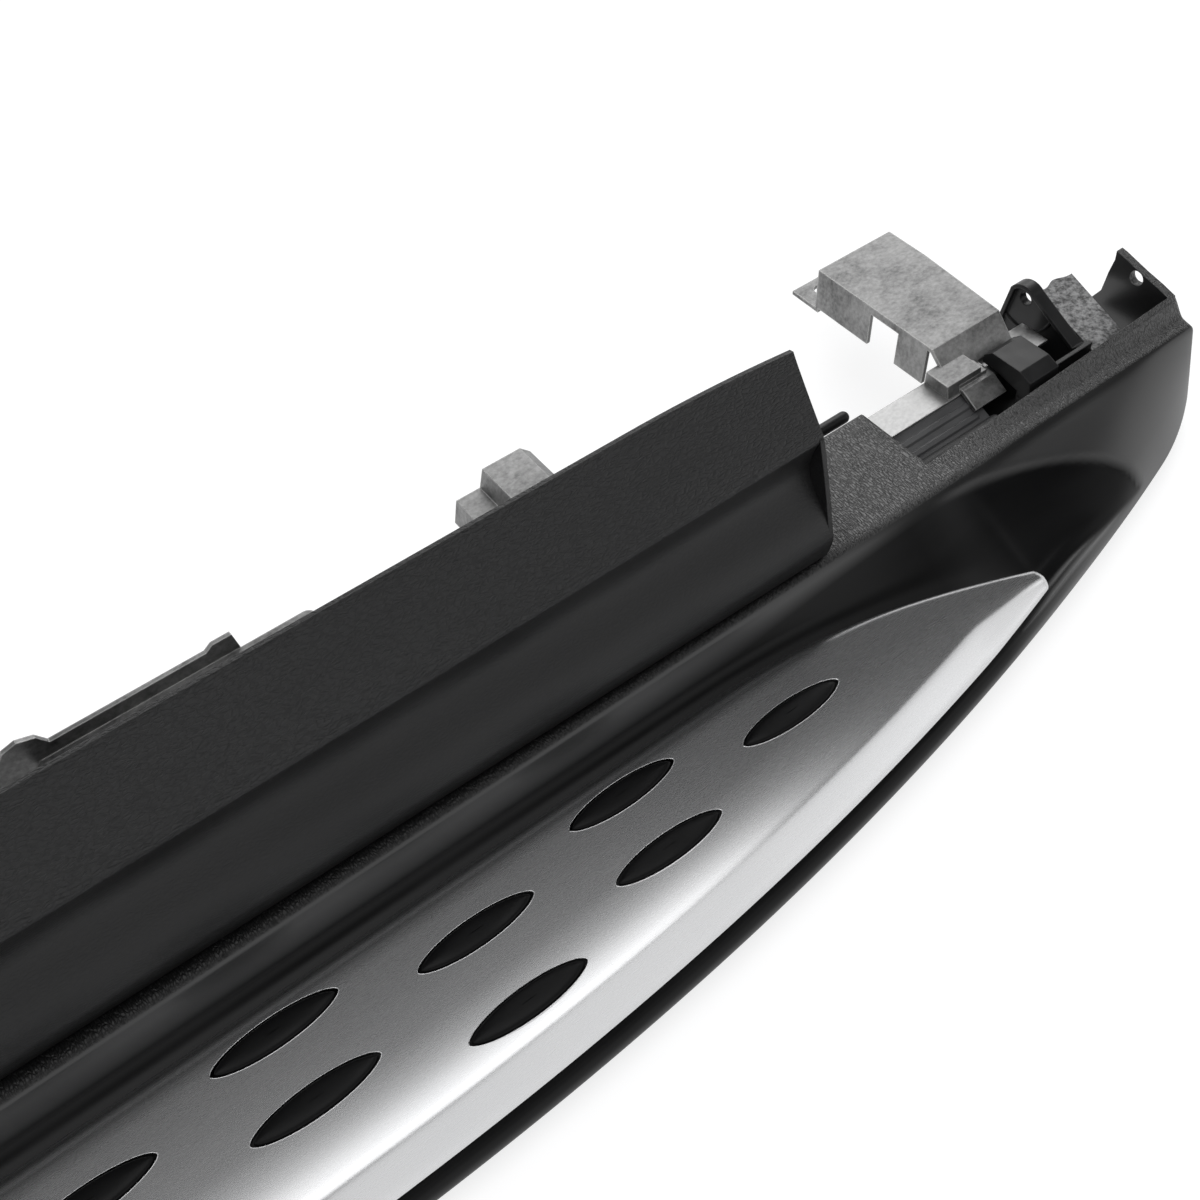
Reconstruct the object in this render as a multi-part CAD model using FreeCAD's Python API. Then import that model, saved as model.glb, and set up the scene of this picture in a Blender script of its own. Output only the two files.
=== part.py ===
import FreeCAD, Part
import math
import os
from FreeCAD import Vector

os.makedirs("parts", exist_ok=True)

# Side step board for a tall road car: a long black moulding that carries a bright leaf-shaped tread
# plate with rubber studs, a grained sill trim standing on its deck, and steel brackets behind it.
# Sizes are millimetres. Modelling datum: X along the board from its middle, Y inboard from the first
# row of studs, Z up from the tread plane. The finished pieces are moved so that the origin is the
# middle of the underside.

# Board moulding
board_length = 1950.0
deck_height = 20.0
ground_depth = 40.0
deck_edge_y = 98.0
moulding_wall = 3.0
ridge_y = 30.0
ridge_radius = 6.0
floor_depth = 7.0
edge_y = -89.0
edge_bow_length = 595.0
edge_bow_radius = 1800.0
corner_length = 60.0
corner_bow_radius = 180.0
nose_height = 25.5
under_run = 18.0
trough_width = 7.0
plate_gap = 1.5
lip_width = 6.0
wing_length = 90.0
rib_pitch = 150.0
rib_thickness = 2.5
rib_depth = 18.0

# Cut-out of the deck beside each end, with the narrow strip and the end wall around it
notch_length = 195.0
strip_width = 18.0
strip_bank = 11.0
end_wall_thickness = 5.5
end_rim_height = 20.0
end_rim_y = 88.0
end_hole_y = 71.0
end_hole_z = 30.5
end_hole_radius = 4.5

# Tread plate with its lens-shaped holes
plate_thickness = 1.6
plate_inner_y = 16.0
plate_bow_length = 375.0
plate_bow_radius = 393.0
plate_tip_radius = 4.0
plate_roll_width = 8.0
plate_roll_drop = 3.0
plate_bevel_width = 15.0
plate_bevel_drop = 9.0
plate_crown_width = 26.0
plate_crown_drop = 1.4

# Rubber mat and its studs
stud_pitch = 90.0
stud_length = 60.0
stud_width = 14.3
stud_tip_radius = 1.2
stud_gap = 0.6
stud_rise = 1.6
stud_row_y = (0.0, -14.6, -34.4, -53.7)
mat_margin = 17.0

# Sill trim
trim_end_gap = 84.0
trim_wall = 2.8
trim_top_y = 72.0
trim_top_z = 133.0
trim_crease_y = 45.0
trim_crease_z = 94.0
trim_waist_y = 50.0
trim_waist_z = 71.0
trim_bulge_y = 32.0
trim_bulge_z = 38.0
trim_toe_y = 35.0
trim_flange_end_y = 58.0
trim_end_drop = 3.4
trim_end_run = 90.0
trim_web_reach = 14.0
house_z = trim_crease_z + 10.0
house_width = 20.0
house_height = 20.0
house_depth = 9.0
seal_start_z = trim_top_z - 15.0
seal_height = 8.0
seal_thickness = 4.0

# Carrier rail under the deck
rail_end_inset = 70.0
rail_wall = 2.0
rail_shelf_width = 19.0
rail_bottom_z = -25.0
rail_flange = 9.5

# Moulded channel in front of the rail
channel_end_inset = 133.0
channel_wall = 2.2
channel_tuck = 10.0
channel_slope_width = 17.0
channel_slope_drop = 7.0
channel_rib_width = 2.4
channel_rib_height = 1.2
channel_hole_radius = 9.0

# Brackets
sheet = 2.5
arm_rise = 12.0
arm_bottom_z = 5.0
end_arm_inset = 106.0
end_arm_width = 57.0
end_arm_reach_y = 192.0
end_foot_z = 2.0
end_apron = 11.0
end_taper = 7.0
end_gap = 22.0
end_step_height = 8.0
end_step_length = 26.0
end_step_overhang = 9.0
foot_flange = 20.0
mid_arm_inset = 174.5
mid_arm_width = 33.0
mid_arm_reach_y = 184.0
mid_step_width = 19.0
mid_step_drop = 12.0
mid_flare = 6.0
mid_hole_radius = 5.5
arm_spacing = 201.5
wide_width = 142.0
wide_reach_y = 158.0
wide_rise = 14.5
wide_upstand = 8.0
foot_hole_radius = 4.5
foot_hole_pitch = 28.0

# Fasteners
bolt_radius = 4.0
bolt_clearance = 0.5
bolt_head_flats = 13.0
bolt_head_height = 5.5
nut_height = 6.5
washer_radius = 9.0
washer_thickness = 1.6
bracket_bolt_z = -8.0
screw_radius = 2.4
screw_head_radius = 5.5
screw_head_height = 3.0
screw_z = 4.0
screw_clearance = 0.2
clip_pitch = 110.0
clip_head_radius = 7.0
clip_head_height = 1.8
clip_shank_radius = 3.0
clip_clearance = 0.1
clip_neck_radius = 2.8
clip_y = trim_flange_end_y - 10.0
clip_hole = clip_shank_radius + clip_clearance
plate_stud_radius = 2.5
plate_stud_tail = 8.0

# End holder, end plate, peg and edge profile
holder_inset = 109.5
hump_length = 24.0
ear_inset = 56.5
ear_thickness = 5.0
ear_hole_y = 102.0
ear_hole_z = 26.0
ear_hole_radius = 4.0
ear_rim_width = 2.4
ear_rim_depth = 3.0
ear_bead_radius = 21.0
tray_z = -8.0
tray_thickness = 2.5
tray_end_inset = 12.0
holder_lip_z = 21.0
ledge_width = 20.0
end_plate_width = 27.0
end_plate_thickness = 2.5
end_plate_inset = 33.5
end_plate_gap = 0.3
peg_radius = 3.5
peg_length = 38.0
profile_length = 60.0
profile_wall = 1.6

half = board_length / 2
deck_z = deck_height
bottom_z = -ground_depth
notch_x = half - notch_length
strip_y = ridge_y + strip_width
wall_x = half - end_wall_thickness
edge_straight = half - edge_bow_length
wing_end = half - wing_length
plate_straight = half - plate_bow_length
stud_columns = 2 * int((plate_straight + stud_length) // stud_pitch) + 1
trim_length = 2 * (notch_x - trim_end_gap)
arm_top_z = deck_z + arm_rise
end_arm_x = wall_x - end_arm_inset
mid_arm_x = notch_x - mid_arm_inset
wide_x = mid_arm_x - arm_spacing
wide_top_z = deck_z + wide_rise
holder_start_x = wall_x - holder_inset
ear_x = wall_x - ear_inset
end_plate_start_x = wall_x - end_plate_inset
end_plate_z = deck_z - moulding_wall - rail_wall - end_plate_thickness
tray_end_x = wall_x - tray_end_inset
skirt_y = deck_edge_y - moulding_wall
shelf_z = deck_z - moulding_wall
foot_end_y = end_arm_reach_y + foot_flange
shift = Vector(0, -(edge_y + foot_end_y) / 2, ground_depth)

pieces = {}


def edge(s):
    """Outermost line of the board in plan, at the distance s from the middle."""
    bow = max(0.0, s - edge_straight)
    turn = max(0.0, s - (half - corner_length))
    return edge_y + bow ** 2 / (2 * edge_bow_radius) + turn ** 2 / (2 * corner_bow_radius)


def plate_inner(s):
    """Inboard edge of the tread plate in plan."""
    bow = max(0.0, s - plate_straight)
    return plate_inner_y - bow ** 2 / (2 * plate_bow_radius)


def plate_outer(s):
    """Outboard edge of the tread plate in plan."""
    return edge(s) + lip_width


def place_of_width(width):
    """Distance from the middle at which the tread plate has narrowed to a width."""
    low, high = plate_straight, half
    for _ in range(40):
        middle = (low + high) / 2
        if plate_inner(middle) - plate_outer(middle) > width:
            low = middle
        else:
            high = middle
    return low


tip_x = place_of_width(0.0)


def mix(a, b, k):
    return tuple(p + (q - p) * k for p, q in zip(a, b))


def ease(value, start, end):
    """Smooth step from 0 at start to 1 at end."""
    k = min(1.0, max(0.0, (value - start) / (end - start)))
    return k * k * (3 - 2 * k)


def polygon(points, x=0.0):
    """Closed face in a plane square to the board's length, from points given as (y, z)."""
    corners = [Vector(x, y, z) for y, z in points]
    return Part.Face(Part.makePolygon(corners + corners[:1]))


def prism_x(points, start, end):
    return polygon(points, start).extrude(Vector(end - start, 0, 0))


def prism_z(points, low, high):
    """Upright prism from plan points given as (x, y)."""
    corners = [Vector(x, y, low) for x, y in points]
    return Part.Face(Part.makePolygon(corners + corners[:1])).extrude(Vector(0, 0, high - low))


def box(x0, x1, y0, y1, z0, z1):
    return Part.makeBox(x1 - x0, y1 - y0, z1 - z0, Vector(x0, y0, z0))


def rod(x, y, z, radius, length, direction):
    return Part.makeCylinder(radius, length, Vector(x, y, z), Vector(*direction))


def hexagon(x, y, z, flats, length, direction):
    """Hexagonal prism that starts at a point and runs along Y or Z."""
    radius = flats / math.sqrt(3)
    turns = [math.radians(60 * i) for i in range(6)]
    if direction[2]:
        ring = [Vector(x + radius * math.cos(a), y + radius * math.sin(a), z) for a in turns]
    else:
        ring = [Vector(x + radius * math.cos(a), y, z + radius * math.sin(a)) for a in turns]
    return Part.Face(Part.makePolygon(ring + ring[:1])).extrude(Vector(*direction) * length)


def mirrored(shape):
    return shape.mirror(Vector(0, 0, 0), Vector(1, 0, 0))


def both_ends(shape):
    return shape.fuse(mirrored(shape))


# Section of the moulding: ridge, trough, tread floor and rolled outer lip near the middle, and a
# plain swelling wing towards the end, with a leaf-shaped hollow dying out between the two.
def section(s):
    y_edge = edge(s)
    bank = strip_bank * min(1.0, max(0.0, (s - notch_x) / (wall_x - notch_x)))
    trough_y = max(plate_inner(s) + trough_width, plate_outer(s) + plate_gap + lip_width * 2.4)
    ridge = (ridge_y + 0.1 * ridge_radius, deck_z - 0.4 * ridge_radius)
    trough = (trough_y, -floor_depth)
    plate_y = plate_outer(s)
    floor_y = min(plate_y + plate_bevel_width + plate_gap, (trough_y + plate_y) / 2)
    hollow = [ridge]
    hollow += [mix(ridge, trough, k) for k in (0.12, 0.24, 0.36, 0.48)]
    hollow += [trough, (floor_y, -floor_depth)]
    foot_z = -floor_depth - (floor_y - plate_y) * 0.5
    lip_z = -0.6 * nose_height
    hollow += [(plate_y - plate_gap, foot_z), (plate_y - plate_gap, lip_z)]
    hollow += [(y_edge + 0.4 * lip_width, lip_z - 1.4), (y_edge + 0.1 * lip_width, lip_z - 4.0)]
    hollow += [(y_edge, -nose_height)]
    late = ease(s, wing_end, half)
    width = ridge_y - y_edge
    start = (ridge_y, deck_z - 0.2 * ridge_radius)
    control = (y_edge + (0.2 + 0.3 * late) * width, deck_z * 0.5 * (1 - late))
    finish = (y_edge, -nose_height)
    wing = []
    for u in (0.0, 0.13, 0.28, 0.45, 0.62, 0.72, 0.8, 0.86, 0.9, 0.94, 0.975, 1.0):
        wing.append(mix(mix(start, control, u), mix(control, finish, u), u))
    k = ease(s, tip_x, wing_end)
    skin = [mix(a, b, k) for a, b in zip(hollow, wing)]
    top = [(deck_edge_y, bottom_z), (deck_edge_y, deck_z + bank), (strip_y, deck_z + bank)]
    top += [(ridge_y + ridge_radius, deck_z)]
    top += [(ridge_y + 0.55 * ridge_radius, deck_z - 0.08 * ridge_radius)]
    low = (nose_height + ground_depth) / 2
    return top + skin + [(y_edge + 0.4 * under_run, -low), (y_edge + under_run, bottom_z)]


def inset(points, distance):
    """Moves a chain of (y, z) points sideways by the wall thickness."""
    moved = []
    for i, (y, z) in enumerate(points):
        ya, za = points[max(0, i - 1)]
        yb, zb = points[min(len(points) - 1, i + 1)]
        before = math.hypot(y - ya, z - za) or 1.0
        after = math.hypot(yb - y, zb - z) or 1.0
        n1 = ((z - za) / before, -(y - ya) / before)
        n2 = ((zb - z) / after, -(yb - y) / after)
        if i == 0:
            n1 = n2
        if i == len(points) - 1:
            n2 = n1
        ny, nz = n1[0] + n2[0], n1[1] + n2[1]
        scale = 2 * distance / (ny * ny + nz * nz)
        moved.append((y - ny * scale, z - nz * scale))
    return moved


def hollow_section(s):
    """Inside of the moulding's section, one wall thickness in, open at the bottom."""
    points = section(s)
    kept = [points[i] for i in (0, 1, 3, 5, 9, 10, 11, 12, 16, 17, 18)]
    inner = inset(kept, moulding_wall)
    inner[0] = (inner[0][0], bottom_z - 1)
    inner[-1] = (inner[-1][0], bottom_z - 1)
    return inner


def steps(start, end, count):
    return [start + (end - start) * i / count for i in range(1, count + 1)]


stations = [edge_straight] + steps(edge_straight, plate_straight, 5) + steps(plate_straight, tip_x, 5)
stations += steps(tip_x, wing_end, 5) + steps(wing_end, half, 5)


def wire_of(points, x):
    corners = [Vector(x, y, z) for y, z in points]
    return Part.makePolygon(corners + corners[:1])


def long_body(profile, end_x):
    """Solid over the whole length from a section law, straight in the middle and lofted to each end."""
    middle = prism_x(profile(0.0), 0.0, edge_straight)
    places = [s for s in stations if s < end_x - 1] + [end_x]
    end = Part.makeLoft([wire_of(profile(s), s) for s in places], True, True)
    one = middle.fuse(end)
    return one.fuse(mirrored(one))


def make_moulding():
    envelope = long_body(section, half)
    hollow = long_body(hollow_section, wall_x)
    out = deck_edge_y + 30
    notch = box(notch_x, half + 5, strip_y, out, bottom_z - 5, 80)
    keep = box(notch_x, half + 5, strip_y - moulding_wall, out, bottom_z - 5, 80)
    hollow = hollow.cut(both_ends(keep))
    count = int((notch_x - 40) // rib_pitch)
    for i in range(-count, count + 1):
        x = i * rib_pitch
        rib = box(x - rib_thickness / 2, x + rib_thickness / 2, edge_y - 5, ridge_y + 12,
                  -floor_depth - moulding_wall - rib_depth, deck_z)
        hollow = hollow.cut(rib)
    moulding = envelope.cut(both_ends(notch)).cut(hollow)
    rim = [(strip_y - 1, deck_z + strip_bank - 1), (strip_y + 8, deck_z + strip_bank + 1.5)]
    rim += [(end_rim_y - 20, deck_z + end_rim_height - 5), (end_rim_y - 5, deck_z + end_rim_height - 1)]
    rim += [(end_rim_y, deck_z + end_rim_height)]
    tip = Vector(wall_x, end_rim_y - 0.5, deck_z + end_rim_height - 6)
    waist = Vector(wall_x, end_rim_y + 1.5, deck_z - 3)
    heel = Vector(wall_x, end_rim_y + 9, -1)
    line = [Vector(wall_x, y, z) for y, z in rim] + [tip]
    edges = [Part.makeLine(a, b) for a, b in zip(line, line[1:])]
    edges.append(Part.Arc(tip, waist, heel).toShape())
    low = [heel, Vector(wall_x, end_rim_y + 9, -14), Vector(wall_x, end_rim_y - 6, -25)]
    low += [Vector(wall_x, strip_y - 1, -25), line[0]]
    edges += [Part.makeLine(a, b) for a, b in zip(low, low[1:])]
    wall = Part.Face(Part.Wire(edges)).extrude(Vector(end_wall_thickness, 0, 0))
    wall = wall.cut(rod(wall_x - 1, end_hole_y, end_hole_z, end_hole_radius, 20, (1, 0, 0)))
    lug = box(peg_x - 10, peg_x, deck_edge_y - 1, peg_y + peg_radius + 3, arm_bottom_z, deck_z - 1)
    lug = lug.cut(rod(peg_x - 11, peg_y, peg_z, peg_radius + 0.05, 12, (1, 0, 0)))
    moulding = moulding.fuse(both_ends(wall)).fuse(both_ends(lug))
    skirt = deck_edge_y - 2 * moulding_wall
    through = 3 * moulding_wall
    drills = [rod(x, skirt, bracket_bolt_z, bolt_radius + bolt_clearance, through, (0, 1, 0))
              for x in bracket_bolt_places()]
    drills += [rod(x, skirt, screw_z, screw_radius + screw_clearance, through, (0, 1, 0))
               for x in screw_places()]
    drills += [rod(x, clip_y, deck_z - 2 * moulding_wall, clip_hole, through, (0, 0, 1))
               for x in clip_places()]
    drills += [rod(x, plate_stud_y, floor_under_z - 1, plate_stud_radius + stud_gap, through, (0, 0, 1))
               for x in plate_stud_places()]
    return moulding.cut(Part.makeCompound(drills))


peg_x = notch_x - 38.0
peg_y = deck_edge_y + 9.0
peg_z = deck_z - 8.0


def lens(x, y, length, width, tip, low, high):
    """Upright lens-shaped prism with slightly blunt tips."""
    reach = length / 2
    side = width / 2
    radius = (reach ** 2 + side ** 2) / (2 * side)
    blunt = reach - tip
    y_tip = math.sqrt(radius ** 2 - blunt ** 2) - (radius - side)
    right_up, right_down = Vector(x + blunt, y + y_tip, low), Vector(x + blunt, y - y_tip, low)
    left_up, left_down = Vector(x - blunt, y + y_tip, low), Vector(x - blunt, y - y_tip, low)
    edges = [Part.Arc(left_up, Vector(x, y + side, low), right_up).toShape()]
    edges.append(Part.Arc(right_up, Vector(x + reach, y, low), right_down).toShape())
    edges.append(Part.Arc(right_down, Vector(x, y - side, low), left_down).toShape())
    edges.append(Part.Arc(left_down, Vector(x - reach, y, low), left_up).toShape())
    return Part.Face(Part.Wire(edges)).extrude(Vector(0, 0, high - low))


def stud_places():
    """Studs stand in columns: one on row two at each end, then rows one and three, two and four."""
    places = []
    for column in range(stud_columns):
        x = (column - (stud_columns - 1) / 2) * stud_pitch
        if column in (0, stud_columns - 1):
            rows = (1,)
        elif column % 2:
            rows = (0, 2)
        else:
            rows = (1, 3)
        places += [(x, stud_row_y[row]) for row in rows]
    return places


def leaf(margin, low, high):
    """Upright prism with the tread plate's outline, drawn in by a margin."""
    stop = place_of_width(2 * margin + 3 * plate_tip_radius)
    side = [plate_straight * k for k in (0.2, 0.4, 0.6, 0.8, 1.0)]
    side += [plate_straight + (stop - plate_straight) * k for k in (0.2, 0.4, 0.6, 0.8, 1.0)]
    upper = [Vector(s, plate_inner(s) - margin, low) for s in side]
    lower = [Vector(s, plate_outer(s) + margin, low) for s in side]
    nose = Vector(stop + plate_tip_radius, (upper[-1].y + lower[-1].y) / 2, low)
    edges = []
    for row in (upper, lower):
        full = [Vector(-p.x, p.y, p.z) for p in row[::-1]] + [Vector(0, row[0].y, low)] + row
        curve = Part.BSplineCurve()
        curve.interpolate(full)
        edges.append(curve.toShape())
    edges.append(Part.Arc(upper[-1], nose, lower[-1]).toShape())
    flip = [Vector(-p.x, p.y, p.z) for p in (upper[-1], nose, lower[-1])]
    edges.append(Part.Arc(*flip).toShape())
    outline = Part.Wire(Part.__sortEdges__(edges))
    return Part.Face(outline).extrude(Vector(0, 0, high - low))


def plate_section(s, depth=0.0):
    """Top line of the tread plate: rolled inboard edge, flat, crown and sloping outboard face."""
    middle = (plate_inner(s) + plate_outer(s)) / 2
    width = max(3 * plate_tip_radius, plate_inner(s) - plate_outer(s))
    inner_y, outer_y = middle + width / 2, middle - width / 2
    bevel_y = outer_y + min(plate_bevel_width, max(0.5 * plate_tip_radius, 0.36 * width))
    left = inner_y - bevel_y
    crown_y = bevel_y + min(plate_crown_width, 0.5 * left)
    roll_y = inner_y - min(plate_roll_width, 0.3 * left)
    roll = plate_roll_drop * min(1.0, left / (2 * plate_roll_width))
    slope = plate_bevel_drop / plate_bevel_width
    points = [(inner_y + 3, -roll * 1.35), (inner_y - 0.3 * (inner_y - roll_y), -roll * 0.5)]
    points += [(roll_y, 0.0), (crown_y, 0.0)]
    points += [(crown_y + 0.55 * (bevel_y - crown_y), -0.35 * plate_crown_drop)]
    points += [(bevel_y, -plate_crown_drop)]
    points += [(outer_y - 3, -plate_crown_drop - slope * (bevel_y - outer_y + 3))]
    return [(y, z - depth) for y, z in points]


def plate_sheet(upper, lower):
    """Sheet between two depths under the tread line, over the plate's whole length."""
    def profile(s):
        return plate_section(s, upper) + plate_section(s, lower)[::-1]
    middle = prism_x(profile(0.0), 0.0, edge_straight)
    places = [edge_straight, (edge_straight + plate_straight) / 2, plate_straight]
    places += steps(plate_straight, tip_x, 8)
    end = Part.makeLoft([wire_of(profile(s), s) for s in places], True, True)
    one = middle.fuse(end)
    return one.fuse(mirrored(one))


def make_plate():
    plate = plate_sheet(0.0, plate_thickness).common(leaf(0.0, -30, 10))
    for x, y in stud_places():
        plate = plate.cut(lens(x, y, stud_length, stud_width, stud_tip_radius, -30, 10))
    return plate


def make_mat():
    mat = plate_sheet(plate_thickness, 2 * floor_depth).common(leaf(mat_margin, -floor_depth, 10))
    for x in plate_stud_places():
        mat = mat.cut(rod(x, plate_stud_y, -20, plate_stud_radius + stud_gap, 30, (0, 0, 1)))
    for x, y in stud_places():
        length = stud_length - 5 * stud_gap
        width = stud_width - 2 * stud_gap
        body = lens(x, y, length, width, stud_tip_radius, -plate_thickness - 1.0, stud_rise)
        dome = (length ** 2 / 4 + stud_rise ** 2) / (2 * stud_rise)
        cap = Part.makeCylinder(dome, width, Vector(x, y - width / 2, stud_rise - dome), Vector(0, 1, 0))
        mat = mat.fuse(body.common(cap))
    return mat


def trim_outline():
    """Outer line of the trim from its top edge down to the toe that stands on the deck."""
    crease = Vector(0, trim_crease_y, trim_crease_z)
    toe = Vector(0, trim_toe_y, deck_z)
    waist = Vector(0, trim_waist_y, trim_waist_z)
    shoulder = Vector(0, trim_bulge_y + 4.0, trim_bulge_z + 12)
    bulge = Vector(0, trim_bulge_y, trim_bulge_z)
    hem = Vector(0, trim_bulge_y + 0.5, trim_bulge_z - 9)
    lower = Part.BSplineCurve()
    lower.interpolate([crease, waist, shoulder, bulge, hem, toe])
    return [(trim_top_y, trim_top_z)] + [(p.y, p.z) for p in lower.discretize(18)]


def make_trim():
    outer = trim_outline()
    path = outer + [(trim_flange_end_y, deck_z)]
    inner = inset(path, trim_wall)
    end = trim_length / 2
    body = prism_x(path + inner[::-1], -end, end)
    chord = [p for p in outer[1:] if p[1] > trim_bulge_z]
    reach = math.hypot(trim_crease_y - trim_bulge_y, trim_crease_z - trim_bulge_z)
    bow = Vector(end, (trim_crease_y + trim_bulge_y) / 2 - 0.02 * reach, (trim_crease_z + trim_bulge_z) / 2)
    high, low = Vector(end, *chord[0]), Vector(end, *chord[-1])
    inboard = Vector(0, trim_web_reach, 0)
    back = [low, low + inboard, high + inboard, high]
    edges = [Part.Arc(high, bow, low).toShape()] + [Part.makeLine(a, b) for a, b in zip(back, back[1:])]
    web = Part.Face(Part.Wire(edges)).extrude(Vector(-trim_wall, 0, 0))
    drop = (trim_end_run ** 2 + trim_end_drop ** 2) / (2 * trim_end_drop)
    cap = box(end - trim_end_run, end + 5, 0, trim_top_y + 40, trim_crease_z, trim_top_z + 10)
    arc = rod(end - trim_end_run, -5, trim_top_z - drop, drop, trim_top_y + 60, (0, 1, 0))
    body = body.cut(both_ends(cap.cut(arc)))
    body = body.fuse(both_ends(web))
    for x in clip_places():
        body = body.cut(rod(x, clip_y, deck_z - 1, clip_hole, trim_wall + 2, (0, 0, 1)))
    for x in dog_house_places():
        body = body.fuse(dog_house(x))
    return body


def trim_back_y(z):
    """Inboard face of the trim's upper part at a height."""
    lean = (trim_top_y - trim_crease_y) / (trim_top_z - trim_crease_z)
    return trim_crease_y + lean * (z - trim_crease_z) + trim_wall * math.hypot(1, lean)


def clip_places():
    count = int((trim_length / 2 - 40) // clip_pitch)
    return [i * clip_pitch for i in range(-count, count + 1)]


def dog_house_places():
    pitch = trim_length / 8
    return [(i + 0.5) * pitch for i in range(-4, 4)]


def dog_house(x):
    """Clip tower moulded on the back of the trim, open at one side for the clip's neck."""
    low, high = house_z - house_height / 2, house_z + house_height / 2
    left, right = x - house_width / 2, x + house_width / 2
    wall = 2.0
    y_low, y_high = trim_back_y(low), trim_back_y(high)
    face_y = y_high + house_depth
    tower = prism_x([(y_low - 1, low), (face_y, low), (face_y, high), (y_high - 1, high)], left, right)
    room = [(y_low + wall, low + wall), (face_y - wall, low + wall)]
    room += [(face_y - wall, high - wall), (y_high + wall, high - wall)]
    tower = tower.cut(prism_x(room, left - 1, right - wall))
    slot = box(left - 1, x + clip_neck_radius + 0.5, face_y - wall - 1, face_y + 1,
               house_z - clip_neck_radius - 0.5, house_z + clip_neck_radius + 0.5)
    return tower.cut(slot)


def make_body_clips():
    """Push-in clips that hang in the clip towers and hold the trim's top edge to the car."""
    clips = []
    for x in dog_house_places():
        face_y = trim_back_y(house_z + 10) + house_depth
        plate = box(x - 7, x + 7, face_y, face_y + 1.6, house_z - 7, house_z + 7)
        neck = rod(x, face_y - 2, house_z, clip_neck_radius, 4, (0, 1, 0))
        head = rod(x, face_y - 3.4, house_z, 5.5, 1.4, (0, 1, 0))
        prong = Part.makeCone(4.6, 1.6, 13, Vector(x, face_y + 1.6, house_z), Vector(0, 1, 0))
        slot = box(x - 0.8, x + 0.8, face_y + 4, face_y + 20, house_z - 6, house_z + 6)
        clips.append(plate.fuse(neck).fuse(head).fuse(prong.cut(slot)))
    return Part.makeCompound(clips)


def make_trim_clips():
    """Push rivets that hold the trim's foot down on the deck."""
    clips = []
    for x in clip_places():
        z = deck_z + trim_wall
        head = rod(x, clip_y, z, clip_head_radius, clip_head_height, (0, 0, 1))
        under = deck_z - moulding_wall
        shank = rod(x, clip_y, under, clip_shank_radius, z - under, (0, 0, 1))
        foot = Vector(x, clip_y, under - 7)
        barb = Part.makeCone(1.6, clip_shank_radius + 0.9, 7, foot, Vector(0, 0, 1))
        slot = box(x - 0.6, x + 0.6, clip_y - 6, clip_y + 6, deck_z - 12, deck_z - 5)
        clips.append(head.fuse(shank).fuse(barb).cut(slot))
    return Part.makeCompound(clips)


def make_seal():
    """Foam strip along the back of the trim's top edge."""
    end = trim_length / 2 - trim_end_run
    low, high = seal_start_z, seal_start_z + seal_height
    path = [(trim_back_y(low), low), (trim_back_y(high), high)]
    path += [(trim_back_y(high) + seal_thickness, high), (trim_back_y(low) + seal_thickness, low)]
    return prism_x(path, -end, end)


# Carrier rail: a pressed angle whose shelf lies against the deck's underside, and a moulded
# channel in front of it whose top edge tucks under the shelf.
rail_back_y = skirt_y
rail_fold_y = rail_back_y - rail_shelf_width
rail_front_y = rail_fold_y - channel_slope_width
rail_front_z = shelf_z - rail_wall - channel_slope_drop
rail_end = half - rail_end_inset
channel_end = half - channel_end_inset


def make_rail():
    path = [(rail_back_y - rail_flange, rail_bottom_z), (rail_back_y, rail_bottom_z)]
    path += [(rail_back_y, shelf_z), (rail_fold_y, shelf_z)]
    rail = prism_x(path + inset(path, rail_wall)[::-1], -rail_end, rail_end)
    for x in bracket_bolt_places():
        rail = rail.cut(rod(x, rail_back_y - 5, bracket_bolt_z, bolt_radius + bolt_clearance, 10, (0, 1, 0)))
    for x in screw_places():
        rail = rail.cut(rod(x, rail_back_y - 5, screw_z, screw_radius, 10, (0, 1, 0)))
    return rail


def make_channel():
    """Moulded channel with two ribs along its slope near each end."""
    end = channel_end
    under = shelf_z - rail_wall
    path = [(rail_fold_y + channel_tuck, under), (rail_fold_y, under), (rail_front_y, rail_front_z)]
    path += [(rail_front_y, rail_bottom_z), (rail_front_y - rail_flange, rail_bottom_z)]
    channel = prism_x(path + inset(path, channel_wall)[::-1], -end, end)
    for k in (0.35, 0.75):
        y = rail_fold_y - channel_slope_width * k
        z = under - channel_slope_drop * k
        rib = [(y + channel_rib_width, z + 0.2), (y + 0.4 * channel_rib_width, z + channel_rib_height)]
        rib += [(y - 0.6 * channel_rib_width, z + channel_rib_height - 0.8)]
        rib += [(y - channel_rib_width, z - 1.2), (y, z - 1.6)]
        channel = channel.fuse(both_ends(prism_x(rib, notch_x - 40, end - 6)))
    count = int((notch_x - 60) // rib_pitch)
    hole_z = (rail_front_z + rail_bottom_z) / 2
    for i in range(-count, count):
        x = (i + 0.5) * rib_pitch
        channel = channel.cut(rod(x, rail_front_y - 5, hole_z, channel_hole_radius, 10, (0, 1, 0)))
    return channel


def bracket_bolt_places():
    """Bolts through the moulding's skirt and the rail, two for each middle and wide bracket."""
    places = []
    for x, spread in ((mid_arm_x - mid_step_width / 2, mid_arm_width), (wide_x, wide_width - 40)):
        places += [x - spread / 2, x + spread / 2]
    return [-x for x in places[::-1]] + places


def screw_places():
    """Screws that hold the moulding's inboard skirt to the rail."""
    inner_x = (wide_x - wide_width / 2) / 2.5
    one = [inner_x, (wide_x + mid_arm_x) / 2 - 8, notch_x - 75]
    return [-x for x in one[::-1]] + [0.0] + one


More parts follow.
